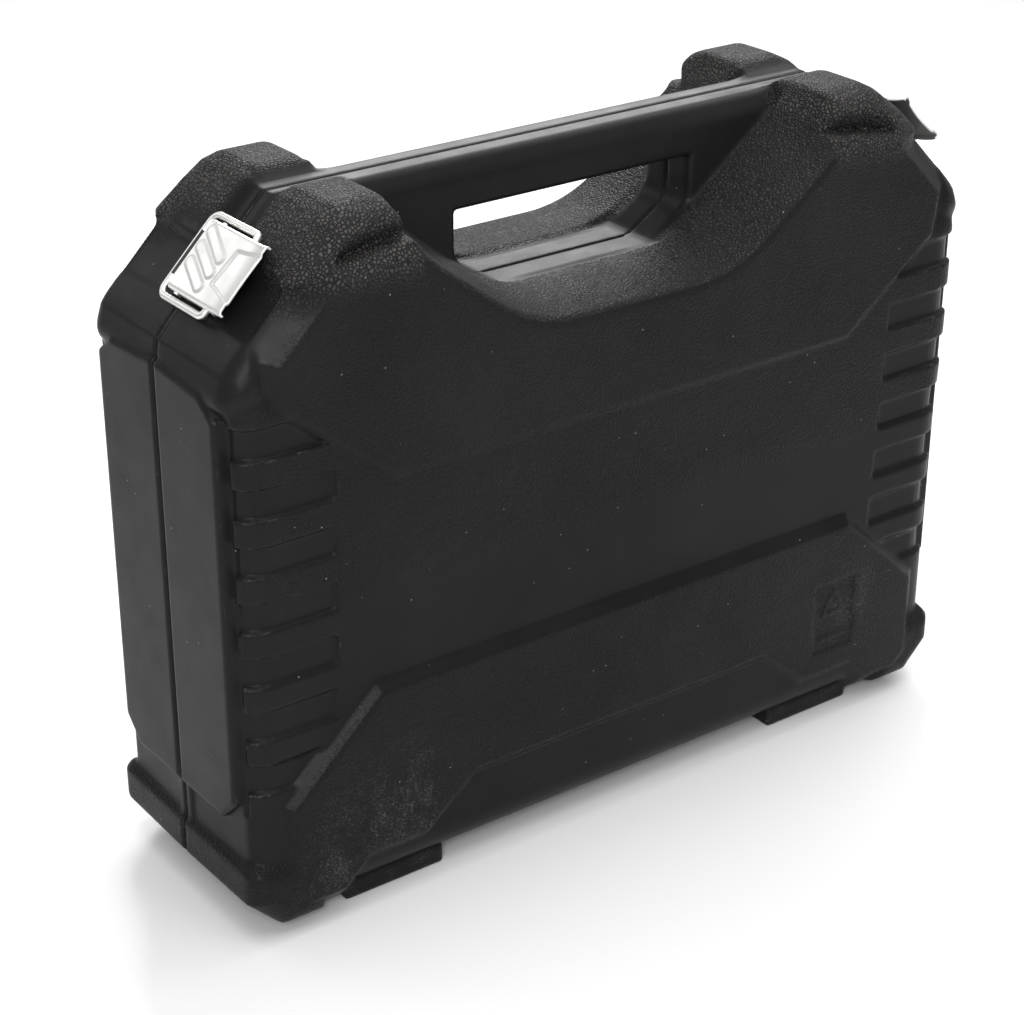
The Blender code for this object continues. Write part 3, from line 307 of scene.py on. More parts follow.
    def field(self, x, y, z):
        wide = np.abs(x)
        solid = self.body(wide, y, z)
        solid = carve(solid, self.bands(wide, y, z), 0.6)
        lip = np.maximum(between(y, -2.0, 5.0), self.flat_edge(wide, z) - 1.0)
        solid = np.minimum(solid, np.maximum(lip, between(z, 14.0, 236.0)))
        solid = blend_in(solid, self.bulge(wide, y, z), 2.0)
        solid = blend_in(solid, self.side_panel(wide, y, z), 0.5)
        solid = carve(solid, self.groove(wide, y, z), 0.6)
        solid = blend_in(solid, self.raised(wide, y, z, self.UPPER, self.UPPER_EDGE), 0.5)
        solid = blend_in(solid, self.bumper(wide, y, z), 1.5)
        solid = blend_in(solid, self.raised(wide, y, z, self.LOWER, self.LOWER_EDGE), 0.5)
        solid = blend_in(solid, self.pads(wide, y, z), 7.0)
        solid = carve(solid, self.dent(wide, y, z), 1.6)
        solid = carve(solid, self.scoop(wide, y, z), 4.0)
        solid = carve(solid, self.grip(wide, y, z), 3.0)
        solid = carve(solid, self.handle_bevel(wide, y, z), 1.5)
        seam_step = np.maximum(y - 0.6, -(self.flat_edge(wide, z) + 0.4))
        solid = carve(solid, seam_step, 0.4)
        solid = np.maximum(solid, SEAM - y)
        solid = np.maximum(solid, -self.hollow(wide, y, z))
        solid = np.minimum(solid, self.foot(wide, y, z))
        bore = np.sqrt(y ** 2 + (z - HINGE_Z) ** 2) - self.PIN_BORE
        solid = np.maximum(solid, -np.maximum(bore, between(wide, *self.BORE_SPAN)))
        if self.side < 0:
            solid = np.maximum(solid, -self.mark(x, y, z))
        return solid

    def flat_edge(self, x, z):
        """Distance to the plain outline at the seam."""
        return outline_distance(x, z, [
            (-FAR, BASE), (RIB_X - 11.0, BASE), (RIB_X, BASE + 11.0), (RIB_X, SHOULDER_SUM - RIB_X),
            (SHOULDER_X, HANDLE_TOP), (-FAR, HANDLE_TOP)])


CORNERS = [(i, j, k) for i in (0, 1) for j in (0, 1) for k in (0, 1)]


def skin_of(field, origin, step):
    """Closed surface where a sampled field is zero: one vertex a cell, one quad a crossed edge."""
    solid = field < 0
    shape = tuple(n - 1 for n in field.shape)

    def window(values, offset):
        return values[tuple(slice(o, o + n) for o, n in zip(offset, shape))]

    count = sum(window(solid, offset).astype(np.int8) for offset in CORNERS)
    active = (count > 0) & (count < 8)
    spot = np.argwhere(active)
    index = np.full(shape, -1, dtype=np.int32)
    index[active] = np.arange(len(spot))
    total = np.zeros((len(spot), 3), dtype=np.float32)
    crossings = np.zeros(len(spot), dtype=np.float32)
    for one in CORNERS:
        for axis in range(3):
            if one[axis]:
                continue
            two = tuple(value + (place == axis) for place, value in enumerate(one))
            a = window(field, one)[active]
            b = window(field, two)[active]
            crossed = (a < 0) != (b < 0)
            share = np.where(crossed, a / np.where(crossed, a - b, 1.0), 0.0)
            point = np.tile(np.array(one, dtype=np.float32), (len(spot), 1))
            point[:, axis] += share
            total += point * crossed[:, None]
            crossings += crossed
    verts = (spot + total / crossings[:, None]) * step + origin
    quads = []
    for axis in range(3):
        low = [slice(1, n) for n in shape]
        low[axis] = slice(0, shape[axis])
        high = list(low)
        high[axis] = slice(1, shape[axis] + 1)
        a, b = solid[tuple(low)], solid[tuple(high)]
        edge = np.argwhere(a != b)
        grid_spot = edge + np.array([0 if place == axis else 1 for place in range(3)])
        outward = a[tuple(edge.T)]
        u, v = [place for place in range(3) if place != axis]
        if axis == 1:
            u, v = v, u
        ring = []
        for du, dv in ((-1, -1), (0, -1), (0, 0), (-1, 0)):
            cell = grid_spot.copy()
            cell[:, u] += du
            cell[:, v] += dv
            ring.append(index[tuple(cell.T)])
        ring = np.stack(ring, axis=1)
        ring[~outward] = ring[~outward][:, ::-1]
        quads.append(ring)
    return verts, np.concatenate(quads)


def mesh_from(name, verts, faces):
    """A mesh from arrays of vertices and equal-sided faces."""
    mesh = bpy.data.meshes.new(name)
    sides = faces.shape[1]
    mesh.vertices.add(len(verts))
    mesh.vertices.foreach_set("co", np.ascontiguousarray(verts, dtype=np.float32).ravel())
    mesh.loops.add(faces.size)
    mesh.loops.foreach_set("vertex_index", np.ascontiguousarray(faces, dtype=np.int32).ravel())
    mesh.polygons.add(len(faces))
    mesh.polygons.foreach_set("loop_start", np.arange(0, faces.size, sides, dtype=np.int32))
    mesh.update(calc_edges=True)
    mesh.validate()
    return mesh


# ------------------------------------------------------------------ finishes
class Tree:
    """A node tree whose nodes are added one by one and linked as they are made."""

    KIND = ""

    def add(self, kind, settings=None, **sockets):
        node = self.tree.nodes.new(self.KIND + kind)
        for key, value in (settings or {}).items():
            setattr(node, key, value)
        for key, value in sockets.items():
            self.put(node.inputs[key.replace("_", " ")], value)
        return node

    def put(self, socket, value):
        if isinstance(value, bpy.types.NodeSocket):
            self.tree.links.new(value, socket)
        else:
            socket.default_value = value


class Finish(Tree):
    """A material made of shader nodes."""

    KIND = "ShaderNode"

    def __init__(self, name):
        self.material = bpy.data.materials.new(name)
        self.material.use_nodes = True
        self.tree = self.material.node_tree
        self.shader = self.tree.nodes["Principled BSDF"]
        self.where = self.add("TexCoord").outputs["Object"]

    def math(self, operation, one, two=0.0, clamp=False):
        node = self.add("Math", {"operation": operation, "use_clamp": clamp})
        self.put(node.inputs[0], one)
        self.put(node.inputs[1], two)
        return node.outputs[0]

    def noise(self, scale, detail=2.0, roughness=0.5, vector=None):
        node = self.add("TexNoise", Vector=vector or self.where, Scale=scale, Detail=detail, Roughness=roughness)
        return node.outputs["Fac"]

    def cells(self, scale, feature="F1", smooth=0.5, vector=None, output="Distance"):
        node = self.add("TexVoronoi", {"feature": feature}, Vector=vector or self.where, Scale=scale)
        if feature == "SMOOTH_F1":
            node.inputs["Smoothness"].default_value = smooth
        return node.outputs[output]

    def stretched(self, scale):
        return self.add("Mapping", Vector=self.where, Scale=scale).outputs["Vector"]

    def ramp(self, value, low, high, start=0.0, end=1.0):
        node = self.add("MapRange", {"clamp": True}, Value=value)
        for key, number in (("From Min", low), ("From Max", high), ("To Min", start), ("To Max", end)):
            node.inputs[key].default_value = number
        return node.outputs["Result"]

    def attribute(self, name):
        return self.add("Attribute", {"attribute_name": name}).outputs["Fac"]

    def mix(self, share, one, two):
        node = self.add("Mix", {"data_type": "RGBA"})
        self.put(node.inputs["Factor"], share)
        self.put(node.inputs[6], one)
        self.put(node.inputs[7], two)
        return node.outputs[2]

    def bump(self, height, distance, normal=None):
        node = self.add("Bump", Height=height)
        node.inputs["Distance"].default_value = distance
        if normal is not None:
            self.put(node.inputs["Normal"], normal)
        return node.outputs["Normal"]

    def shade(self, **sockets):
        for key, value in sockets.items():
            self.put(self.shader.inputs[key.replace("_", " ")], value)
        return self.material


def grey(level, warm=0.0):
    return (level * (1 + warm), level, level * (1 - warm), 1.0)


def moulded_plastic(colour):
    """Black case plastic: pebble grain, fine grain, dust, scuffs, rubbed edges and a painted highlight on the
    pebble peaks.
    """
    made = Finish("moulded_plastic")
    coarse, fine = made.attribute("pebble"), made.attribute("grain")
    scuff, worn = made.attribute("scuff"), made.attribute("worn")
    wander = made.add("VectorMath", {"operation": "MULTIPLY_ADD"})
    made.put(wander.inputs[0], made.add("TexNoise", Vector=made.where, Scale=380.0, Detail=1.0).outputs["Color"])
    made.put(wander.inputs[1], (0.0012, 0.0012, 0.0012))
    made.put(wander.inputs[2], made.where)
    crumpled = wander.outputs[0]
    stones = made.cells(640.0, "DISTANCE_TO_EDGE", vector=crumpled)
    stones = made.math("MULTIPLY", made.ramp(stones, 0.02, 0.3, 0.0, 1.3), coarse)
    grains = made.cells(820.0, "SMOOTH_F1", 0.2, crumpled)
    grains = made.math("MULTIPLY", made.ramp(grains, 0.12, 0.52, 0.62, 0.0), fine)
    skin = made.math("MULTIPLY", made.noise(1500.0, 2.0), 0.05)
    waves = made.math("MULTIPLY", made.noise(24.0, 1.0), 0.9)
    height = made.math("ADD", made.math("ADD", stones, grains), made.math("ADD", skin, waves))
    dot = made.cells(150.0)
    chosen = made.add("TexWhiteNoise", Vector=made.cells(150.0, output="Position"))
    kept = made.ramp(chosen.outputs["Value"], 0.62, 0.66)
    dust = made.math("MULTIPLY", made.ramp(dot, 0.03, 0.055, 1.0, 0.0), kept)
    patches = made.ramp(made.noise(60.0, 6.0, 0.75), 0.42, 0.7)
    specks = made.ramp(made.noise(1100.0, 3.0, 0.7), 0.52, 0.68)
    streaks = made.ramp(made.noise(1.0, 3.0, 0.6, made.stretched((700.0, 700.0, 110.0))), 0.6, 0.72)
    specks = made.math("ADD", made.math("MULTIPLY", specks, 0.85), 0.06)
    rubbed = made.math("ADD", made.math("MULTIPLY", patches, specks), made.math("MULTIPLY", streaks, 0.12))
    rubbed = made.math("MULTIPLY", scuff, rubbed, True)
    film = made.ramp(made.noise(9.0, 5.0, 0.65), 0.35, 0.75, 0.0, 0.03)
    edge = made.math("MULTIPLY", worn, made.ramp(made.noise(260.0, 4.0, 0.7), 0.45, 0.7, 0.0, 0.35))
    # painted highlight: the pebble peaks are lightened so the pebbled pads and slopes look lit, partly standing
    # for wear rubbed into the peaks
    peak_rub_and_highlight = made.math("MULTIPLY", made.math("MULTIPLY", stones, coarse), 0.22)
    # lighter areas: rubbed scuffs and worn edges are real wear, the film is random tone, and the peak lightening
    # is painted highlight
    wear_and_highlight = made.math("MAXIMUM", made.math("ADD", rubbed, edge, True), made.math("MAXIMUM", film, peak_rub_and_highlight))
    base = made.mix(wear_and_highlight, colour, grey(0.24, 0.06))
    base = made.mix(made.math("MULTIPLY", dust, 0.8), base, grey(0.34, 0.02))
    rough = made.math("ADD", made.ramp(made.noise(60.0, 4.0, 0.6), 0.3, 0.7, 0.3, 0.4),
                      made.math("ADD", made.math("MULTIPLY", fine, 0.05), made.math("MULTIPLY", coarse, 0.1)))
    rough = made.math("ADD", rough, made.math("MULTIPLY", wear_and_highlight, 0.35), True)
    made.shader.inputs["Specular IOR Level"].default_value = 0.1
    return made.shade(Base_Color=base, Roughness=rough, Normal=made.bump(height, 0.00042))


def plain_plastic(name, colour, cell=900.0):
    """Finely grained plastic for the small moulded parts and the insert."""
    made = Finish(name)
    grains = made.math("MULTIPLY", made.ramp(made.cells(cell, "SMOOTH_F1", 0.3), 0.05, 0.6, 1.0, 0.0), 0.35)
    film = made.ramp(made.noise(30.0, 5.0, 0.65), 0.4, 0.75, 0.0, 0.12)
    base = made.mix(film, colour, grey(0.2, 0.04))
    rough = made.ramp(made.noise(80.0, 4.0), 0.3, 0.7, 0.38, 0.52)
    return made.shade(Base_Color=base, Roughness=rough, Normal=made.bump(grains, 0.0003))


def bright_steel(name, colour, low, high, brush):
    """Plated steel: fine brushing and faint smudges."""
    made = Finish(name)
    lines = made.noise(1.0, 3.0, 0.6, made.stretched(brush))
    smudge = made.noise(70.0, 5.0, 0.6)
    rough = made.math("ADD", made.ramp(smudge, 0.3, 0.7, low, high), made.math("MULTIPLY", lines, 0.06))
    base = made.mix(made.ramp(smudge, 0.45, 0.8, 0.0, 0.25), colour, tuple(c * 0.72 for c in colour[:3]) + (1.0,))
    made.shader.inputs["Metallic"].default_value = 1.0
    return made.shade(Base_Color=base, Roughness=rough, Normal=made.bump(lines, 0.00002))


def soft_rubber(name, colour):
    made = Finish(name)
    grains = made.cells(1400.0, "SMOOTH_F1", 0.4)
    base = made.mix(made.ramp(made.noise(50.0, 5.0, 0.6), 0.45, 0.8, 0.0, 0.2), colour, grey(0.12, 0.03))
    rough = made.ramp(made.noise(90.0, 3.0), 0.3, 0.7, 0.55, 0.72)
    return made.shade(Base_Color=base, Roughness=rough, Normal=made.bump(grains, 0.0001))


def floor_paint(colour):
    made = Finish("pale_floor")
    base = made.mix(made.ramp(made.noise(3.0, 3.0), 0.4, 0.7, 0.0, 0.03), colour, grey(0.7))
    return made.shade(Base_Color=base, Roughness=made.ramp(made.noise(2.0), 0.3, 0.7, 0.30, 0.36))


_made = {}


def finish_named(name):
    """The finish called name, made once from the settings' colours."""
    if name not in _made:
        look = bpy.context.scene.tool_case_finish
        black, steel, chrome = (tuple(colour) + (1.0,) for colour in (look.plastic, look.steel, look.chrome))
        _made[name] = {
            "case": lambda: moulded_plastic(black),
            "insert": lambda: plain_plastic("insert_plastic", tuple(look.insert) + (1.0,)),
            "fitting": lambda: plain_plastic("fitting_plastic", black, 1300.0),
            "latch": lambda: bright_steel("plated_steel", steel, 0.32, 0.46, (2600.0, 120.0, 2600.0)),
            "tool": lambda: bright_steel("chromed_steel", chrome, 0.1, 0.22, (1500.0, 300.0, 1500.0)),
            "rubber": lambda: soft_rubber("grip_rubber", tuple(look.rubber) + (1.0,)),
            "floor": lambda: floor_paint(tuple(look.floor) + (1.0,)),
        }[name]()
    return _made[name]


def paint_node(node, finish):
    """Gives a kept node its finish in every slot."""
    for place in NODES[node].material_slots:
        place.material = finish_named(finish)


def add_piece(name, mesh, finish, body, replaces=()):
    """Puts a finished mesh in the scene as one of the object's pieces."""
    piece = bpy.data.objects.new(name, mesh)
    bpy.context.scene.collection.objects.link(piece)
    mesh.materials.clear()
    mesh.materials.append(finish_named(finish))
    mesh.polygons.foreach_set("use_smooth", [True] * len(mesh.polygons))
    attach(piece, body)
    if replaces:
        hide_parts(*replaces)
    return piece


def settled(piece):
    """Applies a piece's modifiers to its mesh."""
    graph = bpy.context.evaluated_depsgraph_get()
    mesh = bpy.data.meshes.new_from_object(piece.evaluated_get(graph))
    piece.modifiers.clear()
    piece.data = mesh


# ------------------------------------------------------------------ shells
def surface_marks(mesh, shape):
    """Where the skin is pebbled, grained, scuffed or worn, kept as attributes of the mesh."""
    count = len(mesh.vertices)
    spots = np.zeros(count * 3, dtype=np.float32)
    mesh.vertices.foreach_get("co", spots)
    spots = spots.reshape(-1, 3) / MM
    normals = np.zeros(count * 3, dtype=np.float32)
    mesh.vertices.foreach_get("normal", normals)
    normals = normals.reshape(-1, 3)
    x, y, z = np.abs(spots[:, 0]), np.abs(spots[:, 1]), spots[:, 2]
    slope = smooth_step(np.abs(shape.scoop(x, y, z)), 2.5, 0.8) * smooth_step(z, SADDLE - 8.0, SADDLE - 1.0)
    slope *= smooth_step(y, 14.5, 17.0)
    pad = smooth_step(z, 262.0, 282.0) * smooth_step(x, 101.0, 106.0) * smooth_step(y, 8.0, 16.0)
    pad *= np.maximum(smooth_step(z, 278.0, 290.0), smooth_step(y, 22.0, 46.0))
    pebble = np.clip(np.maximum(0.6 * slope, pad), 0, 1)
    outer = smooth_step(y, FACE + 0.4, FACE + 1.6) * (0.2 + 0.8 * smooth_step(np.abs(normals[:, 1]), 0.84, 0.95))
    low = smooth_step(z, 38.0, 34.0) * smooth_step(x, 150.0, 158.0)
    grain = np.clip(np.maximum(outer, low), 0, 1) * (1 - pebble)
    links = np.zeros(len(mesh.edges) * 2, dtype=np.int32)
    mesh.edges.foreach_get("vertices", links)
    a, b = links.reshape(-1, 2).T
    away = spots[b] - spots[a]
    length = np.linalg.norm(away, axis=1) + 1e-6
    bend = np.zeros(count, dtype=np.float32)
    number = np.zeros(count, dtype=np.float32)
    for one, way in ((a, -1.0), (b, 1.0)):
        np.add.at(bend, one, way * np.einsum("ij,ij->i", normals[one], away) / length)
        np.add.at(number, one, 1.0)
    worn = smooth_step(bend / np.maximum(number, 1), 0.1, 0.32)
    wide = spots[:, 0]
    scuff = np.zeros(count, dtype=np.float32)
    if shape.side < 0:
        for cx, cy, cz, rx, ry, rz, amount in (
                (-118.0, 57.0, 42.0, 46.0, 6.0, 34.0, 0.8), (-150.0, 57.0, 22.0, 26.0, 8.0, 24.0, 0.7),
                (134.0, 57.0, 60.0, 16.0, 5.0, 26.0, 0.9), (-190.0, 22.0, 205.0, 5.0, 12.0, 26.0, 0.8),
                (-60.0, 57.0, 175.0, 90.0, 6.0, 40.0, 0.15)):
            reach = ((wide - cx) / rx) ** 2 + ((y - cy) / ry) ** 2 + ((z - cz) / rz) ** 2
            scuff = np.maximum(scuff, amount * np.exp(-reach * 1.6))
    else:
        scuff = 0.25 * np.exp(-((z - 40.0) / 40.0) ** 2) * outer
    scuff = np.maximum(scuff, 0.35 * smooth_step(z, 14.0, 6.0))
    for name, values in (("pebble", pebble), ("grain", grain), ("scuff", scuff), ("worn", worn)):
        mesh.attributes.new(name, "FLOAT", "POINT").data.foreach_set("value", values.astype(np.float32))


def make_half(name, side, body, node):
    case = bpy.context.scene.tool_case
    step = case.grid_step / MM * 1.0
    low = np.array([-HALF_WIDE - 2.5, -4.5, -2.5])
    high = np.array([HALF_WIDE + 2.5, HALF_THICK + 2.5, TOP + 3.0])
    counts = np.ceil((high - low) / step).astype(int) + 1
    lines = [(low[i] + np.arange(counts[i]) * step).astype(np.float32) for i in range(3)]
    x, y, z = lines[0][:, None, None], lines[1][None, :, None], lines[2][None, None, :]
    shape = HalfShape(side)
    verts, faces = skin_of(shape.field(x, y, z).astype(np.float32), low, step)
    verts = verts * MM
    verts[:, 1] *= side
    if side < 0:
        faces = faces[:, ::-1]
    mesh = mesh_from(name, verts, faces)
    piece = add_piece(name, mesh, "case", body, (node,))
    thin = piece.modifiers.new("thin", "DECIMATE")
    thin.ratio = min(1.0, case.skin_triangles / (2 * len(mesh.polygons)))
    settled(piece)
    piece.data.polygons.foreach_set("use_smooth", [True] * len(piece.data.polygons))
    surface_marks(piece.data, shape)
    even = piece.modifiers.new("even", "WEIGHTED_NORMAL")
    even.weight = 60
    settled(piece)


# ------------------------------------------------------------------ latches
LATCH_SIDES = (("left", -1), ("right", 1))
LEVER_HALF, LEVER_REAR, LEVER_LIP, PLATE_MIDDLE = 15.0, 2.0, -40.5, 8.9
LIP_LENGTH, LIP_RISE = 14.5, 3.2
WIRE_RADIUS, WIRE_HALF = 1.5, 18.5
WIRE_PIVOT, WIRE_BAR = (-22.0, 4.5), (11.0, 3.4)
RIBS = [((10.9, -1.8), (3.2, -17.0)), ((3.9, -1.8), (-3.4, -17.0)), ((-3.1, -1.8), (-9.8, -16.0))]
EAR_DEPTHS = [(2.0, 5.0), (-4.0, 7.0), (-10.0, 5.0), (-18.0, 5.6), (-25.0, 6.6), (-28.5, 2.4), (-31.0, 1.0),
              (-45.0, 0.9)]


def latch_place(across):
    """From the latch's own axes, in millimetres, to the scene."""
    turn = Matrix.Rotation(across * math.pi / 4, 4, "Y")
    return Matrix.Scale(MM, 4) @ Matrix.Translation((across * LATCH_X, 0.0, LATCH_Z)) @ turn


def nearest_on(u, v, start, end):
    ex, ey = end[0] - start[0], end[1] - start[1]
    along = np.clip(((u - start[0]) * ex + (v - start[1]) * ey) / (ex * ex + ey * ey), 0, 1)
    return np.hypot(u - start[0] - along * ex, v - start[1] - along * ey)


def pressed_height(u, v):
    """Height of the lever's sheet: three slanted ribs, a sunk thumb field and a curled lip."""
    height = np.full(np.broadcast(u, v).shape, PLATE_MIDDLE)
    for start, end in RIBS:
        height = height + 0.55 * smooth_step(nearest_on(u, v, start, end), 2.9, 1.5)
    field = outline_distance(u, v, [(9.0, -22.8), (-6.6, -21.0), (-10.5, -37.0), (-11.5, -60.0), (13.0, -60.0),
                                    (11.0, -37.0)])
    height = height - 0.85 * smooth_step(field, 0.7, -0.7)
    curl = np.clip((LEVER_LIP + LIP_LENGTH - v) / LIP_LENGTH, 0.0, 1.0)
    return height + LIP_RISE * curl ** 2.2


def make_lever(word, across):
    radius = 1.3
    flat = np.linspace(-LEVER_HALF + radius, LEVER_HALF - radius, 56)
    rows = []
    for share in np.linspace(0.0, 1.0, 74):
        depth = np.interp(-(LEVER_REAR + (LEVER_LIP - LEVER_REAR) * share), [-a for a, _ in EAR_DEPTHS],
                          [d for _, d in EAR_DEPTHS])
        far = LEVER_LIP + 1.8 * np.clip(1 - (flat / LEVER_HALF) ** 2, 0, 1)
        v = LEVER_REAR + (far - LEVER_REAR) * share
        row = [(u, w, h) for u, w, h in zip(flat, v, pressed_height(flat, v))]
        for end in (-1, 1):
            edge_v = v[0] if end < 0 else v[-1]
            edge_h = row[0][2] if end < 0 else row[-1][2]
            side = [(end * (LEVER_HALF - radius + radius * math.sin(t)), edge_v,
                     edge_h - radius * (1 - math.cos(t))) for t in (0.4, 0.8, 1.2, math.pi / 2)]
            side += [(end * LEVER_HALF, edge_v, edge_h - radius - depth * t) for t in (0.25, 0.5, 0.75, 1.0)]
            row = side[::-1] + row if end < 0 else row + side
        rows.append(row)
    wide = len(rows[0])
    place = latch_place(across)
    verts = [place @ Vector(spot) for row in rows for spot in row]
    index = np.arange(len(rows) * wide).reshape(len(rows), wide)
    faces = np.stack([index[:-1, :-1], index[1:, :-1], index[1:, 1:], index[:-1, 1:]], axis=-1).reshape(-1, 4)
    mesh = mesh_from(f"{word}_pressed_lever", np.array(verts), faces)
    piece = add_piece(f"{word}_pressed_lever", mesh, "latch", f"{word}_lever", (f"{word}_lever",))
    sheet = piece.modifiers.new("sheet", "SOLIDIFY")
    sheet.thickness = 0.9 * MM
    sheet.offset = 0.0
    rim = piece.modifiers.new("rim", "BEVEL")
    rim.width = 0.25 * MM
    rim.segments = 2
    rim.angle_limit = math.radians(60)
    settled(piece)


def arc_points(centre, radius, start, end, steps):
    return [(centre[0] + radius * math.cos(math.radians(start + (end - start) * i / steps)),
             centre[1] + radius * math.sin(math.radians(start + (end - start) * i / steps)))
            for i in range(steps + 1)]


def make_bail(word, across):
    """The wire loop, bent round both corners, its ends turned in under the lever."""
    inner, bend = LEVER_HALF - 2.4, 4.0
    right = [(inner, WIRE_PIVOT[0])]
    right += arc_points((WIRE_HALF - 2.5, WIRE_PIVOT[0] + 2.5), 2.5, -90.0, 0.0, 8)
    right += arc_points((WIRE_HALF - bend, WIRE_BAR[0] - bend), bend, 0.0, 90.0, 10)
    route = right + [(-x, y) for x, y in reversed(right)]
    fall = (WIRE_BAR[1] - WIRE_PIVOT[1]) / (WIRE_BAR[0] - WIRE_PIVOT[0])
    curve = bpy.data.curves.new(f"{word}_wire", "CURVE")
    curve.dimensions = "3D"
    curve.bevel_depth = WIRE_RADIUS
    curve.bevel_resolution = 5
    curve.use_fill_caps = True
    line = curve.splines.new("POLY")
    line.points.add(len(route) - 1)
    for spot, (x, y) in zip(line.points, route):
        spot.co = (x, y, WIRE_PIVOT[1] + (y - WIRE_PIVOT[0]) * fall, 1.0)
    drawn = bpy.data.objects.new(f"{word}_wire", curve)
    bpy.context.scene.collection.objects.link(drawn)
    bpy.context.view_layer.update()
    mesh = bpy.data.meshes.new_from_object(drawn.evaluated_get(bpy.context.evaluated_depsgraph_get()))
    bpy.data.objects.remove(drawn, do_unlink=True)
    work = bmesh.new()
    work.from_mesh(mesh)
    bmesh.ops.remove_doubles(work, verts=work.verts, dist=0.0005)
    bmesh.ops.recalc_face_normals(work, faces=work.faces)
    work.to_mesh(mesh)
    work.free()
    mesh.transform(latch_place(across))
    add_piece(f"{word}_wire_bail", mesh, "latch", f"{word}_bail", (f"{word}_bail",))


# ------------------------------------------------------------------ ridges laid by node trees
KNURL_PLACE, KNURL_LONG = 0.34, 0.14          # middle and length of a knurled band, as shares of its socket
GRIP_WIRE = 0.055                             # ring thickness as a share of the grip's radius
# grip, where its rings start and end along it, and its radius there as a share of the widest
GRIP_RINGS = (("ratchet_large_grip", 0.62, 0.93, 0.985, 0.905), ("ratchet_small_grip", 0.62, 0.93, 0.985, 0.905),
              ("spinner_grip", 0.06, 0.32, 0.92, 0.985))


class Layout(Tree):
    """A geometry node tree with named sizes, ended as plain geometry in one finish."""

    def __init__(self, name, sizes):
        self.tree = bpy.data.node_groups.new(name, "GeometryNodeTree")
        face = self.tree.interface
        face.new_socket("Geometry", in_out="INPUT", socket_type="NodeSocketGeometry")
        for word, kind in sizes + (("Finish", "Material"),):
            face.new_socket(word, in_out="INPUT", socket_type="NodeSocket" + kind)
        face.new_socket("Geometry", in_out="OUTPUT", socket_type="NodeSocketGeometry")
        self.sizes = self.tree.nodes.new("NodeGroupInput").outputs

    def math(self, operation, one, two):
        node = self.add("ShaderNodeMath", {"operation": operation})
        self.put(node.inputs[0], one)
        self.put(node.inputs[1], two)
        return node.outputs[0]

    def vector(self, x, y, z):
        return self.add("ShaderNodeCombineXYZ", X=x, Y=y, Z=z).outputs[0]

    def close(self, geometry):
        real = self.add("GeometryNodeRealizeInstances", Geometry=geometry)
        painted = self.add("GeometryNodeSetMaterial", Geometry=real.outputs[0], Material=self.sizes["Finish"])
        self.put(self.tree.nodes.new("NodeGroupOutput").inputs[0], painted.outputs[0])
        return self

    def lay(self, finish, **values):
        """The tree's result as a mesh, for one set of sizes."""
        holder = bpy.data.objects.new("layout", bpy.data.meshes.new("layout"))
        bpy.context.scene.collection.objects.link(holder)
        modifier = holder.modifiers.new("layout", "NODES")
        modifier.node_group = self.tree
        values["Finish"] = finish_named(finish)
        for item in self.tree.interface.items_tree:
            key = item.name.replace(" ", "_")
            if item.in_out == "INPUT" and key in values:
                modifier[item.identifier] = values[key]
        mesh = bpy.data.meshes.new_from_object(holder.evaluated_get(bpy.context.evaluated_depsgraph_get()))
        bpy.data.objects.remove(holder, do_unlink=True)
        return mesh


def ridge_band():
    """Short bars round an axis, as on a socket's knurled band."""
    band = Layout("ridge_band", (("Count", "Int"), ("Radius", "Float"), ("Bar rise", "Float"),
                                 ("Bar width", "Float"), ("Bar length", "Float")))
    ring = band.add("GeometryNodeMeshCircle", Vertices=band.sizes["Count"], Radius=band.sizes["Radius"])
    bar = band.add("GeometryNodeMeshCube",
                   Size=band.vector(band.sizes["Bar rise"], band.sizes["Bar width"], band.sizes["Bar length"]))
    outward = band.add("FunctionNodeAlignRotationToVector", {"axis": "X"},
                       Vector=band.add("GeometryNodeInputPosition").outputs[0])
    bars = band.add("GeometryNodeInstanceOnPoints", Points=ring.outputs[0], Instance=bar.outputs[0],
                    Rotation=outward.outputs[0])
    return band.close(bars.outputs[0])


def ring_row():
    """Rings in a row that swell or shrink evenly, as on a moulded grip."""
    row = Layout("ring_row", (("Count", "Int"), ("Pitch", "Float"), ("Radius", "Float"), ("Wire", "Float"),
                              ("Taper", "Float")))
    line = row.add("GeometryNodeMeshLine", Count=row.sizes["Count"],
                   Offset=row.vector(0.0, 0.0, row.sizes["Pitch"]))
    path = row.add("GeometryNodeCurvePrimitiveCircle", Resolution=48, Radius=row.sizes["Radius"])
    section = row.add("GeometryNodeCurvePrimitiveCircle", Resolution=10, Radius=row.sizes["Wire"])
    ring = row.add("GeometryNodeCurveToMesh", Curve=path.outputs[0], Profile_Curve=section.outputs[0])
    share = row.math("DIVIDE", row.add("GeometryNodeInputIndex").outputs[0],
                     row.math("SUBTRACT", row.sizes["Count"], 1.0))
    wide = row.math("ADD", row.math("MULTIPLY", share, row.sizes["Taper"]), 1.0)
    rings = row.add("GeometryNodeInstanceOnPoints", Points=line.outputs[0], Instance=ring.outputs[0],
                    Scale=row.vector(wide, wide, 1.0))
    return row.close(rings.outputs[0])


def joined(name, meshes):
    """One mesh from several, with their faces pointing out."""
    work = bmesh.new()
    for mesh in meshes:
        work.from_mesh(mesh)
    bmesh.ops.recalc_face_normals(work, faces=work.faces)
    whole = bpy.data.meshes.new(name)
    work.to_mesh(whole)
    work.free()
    return whole


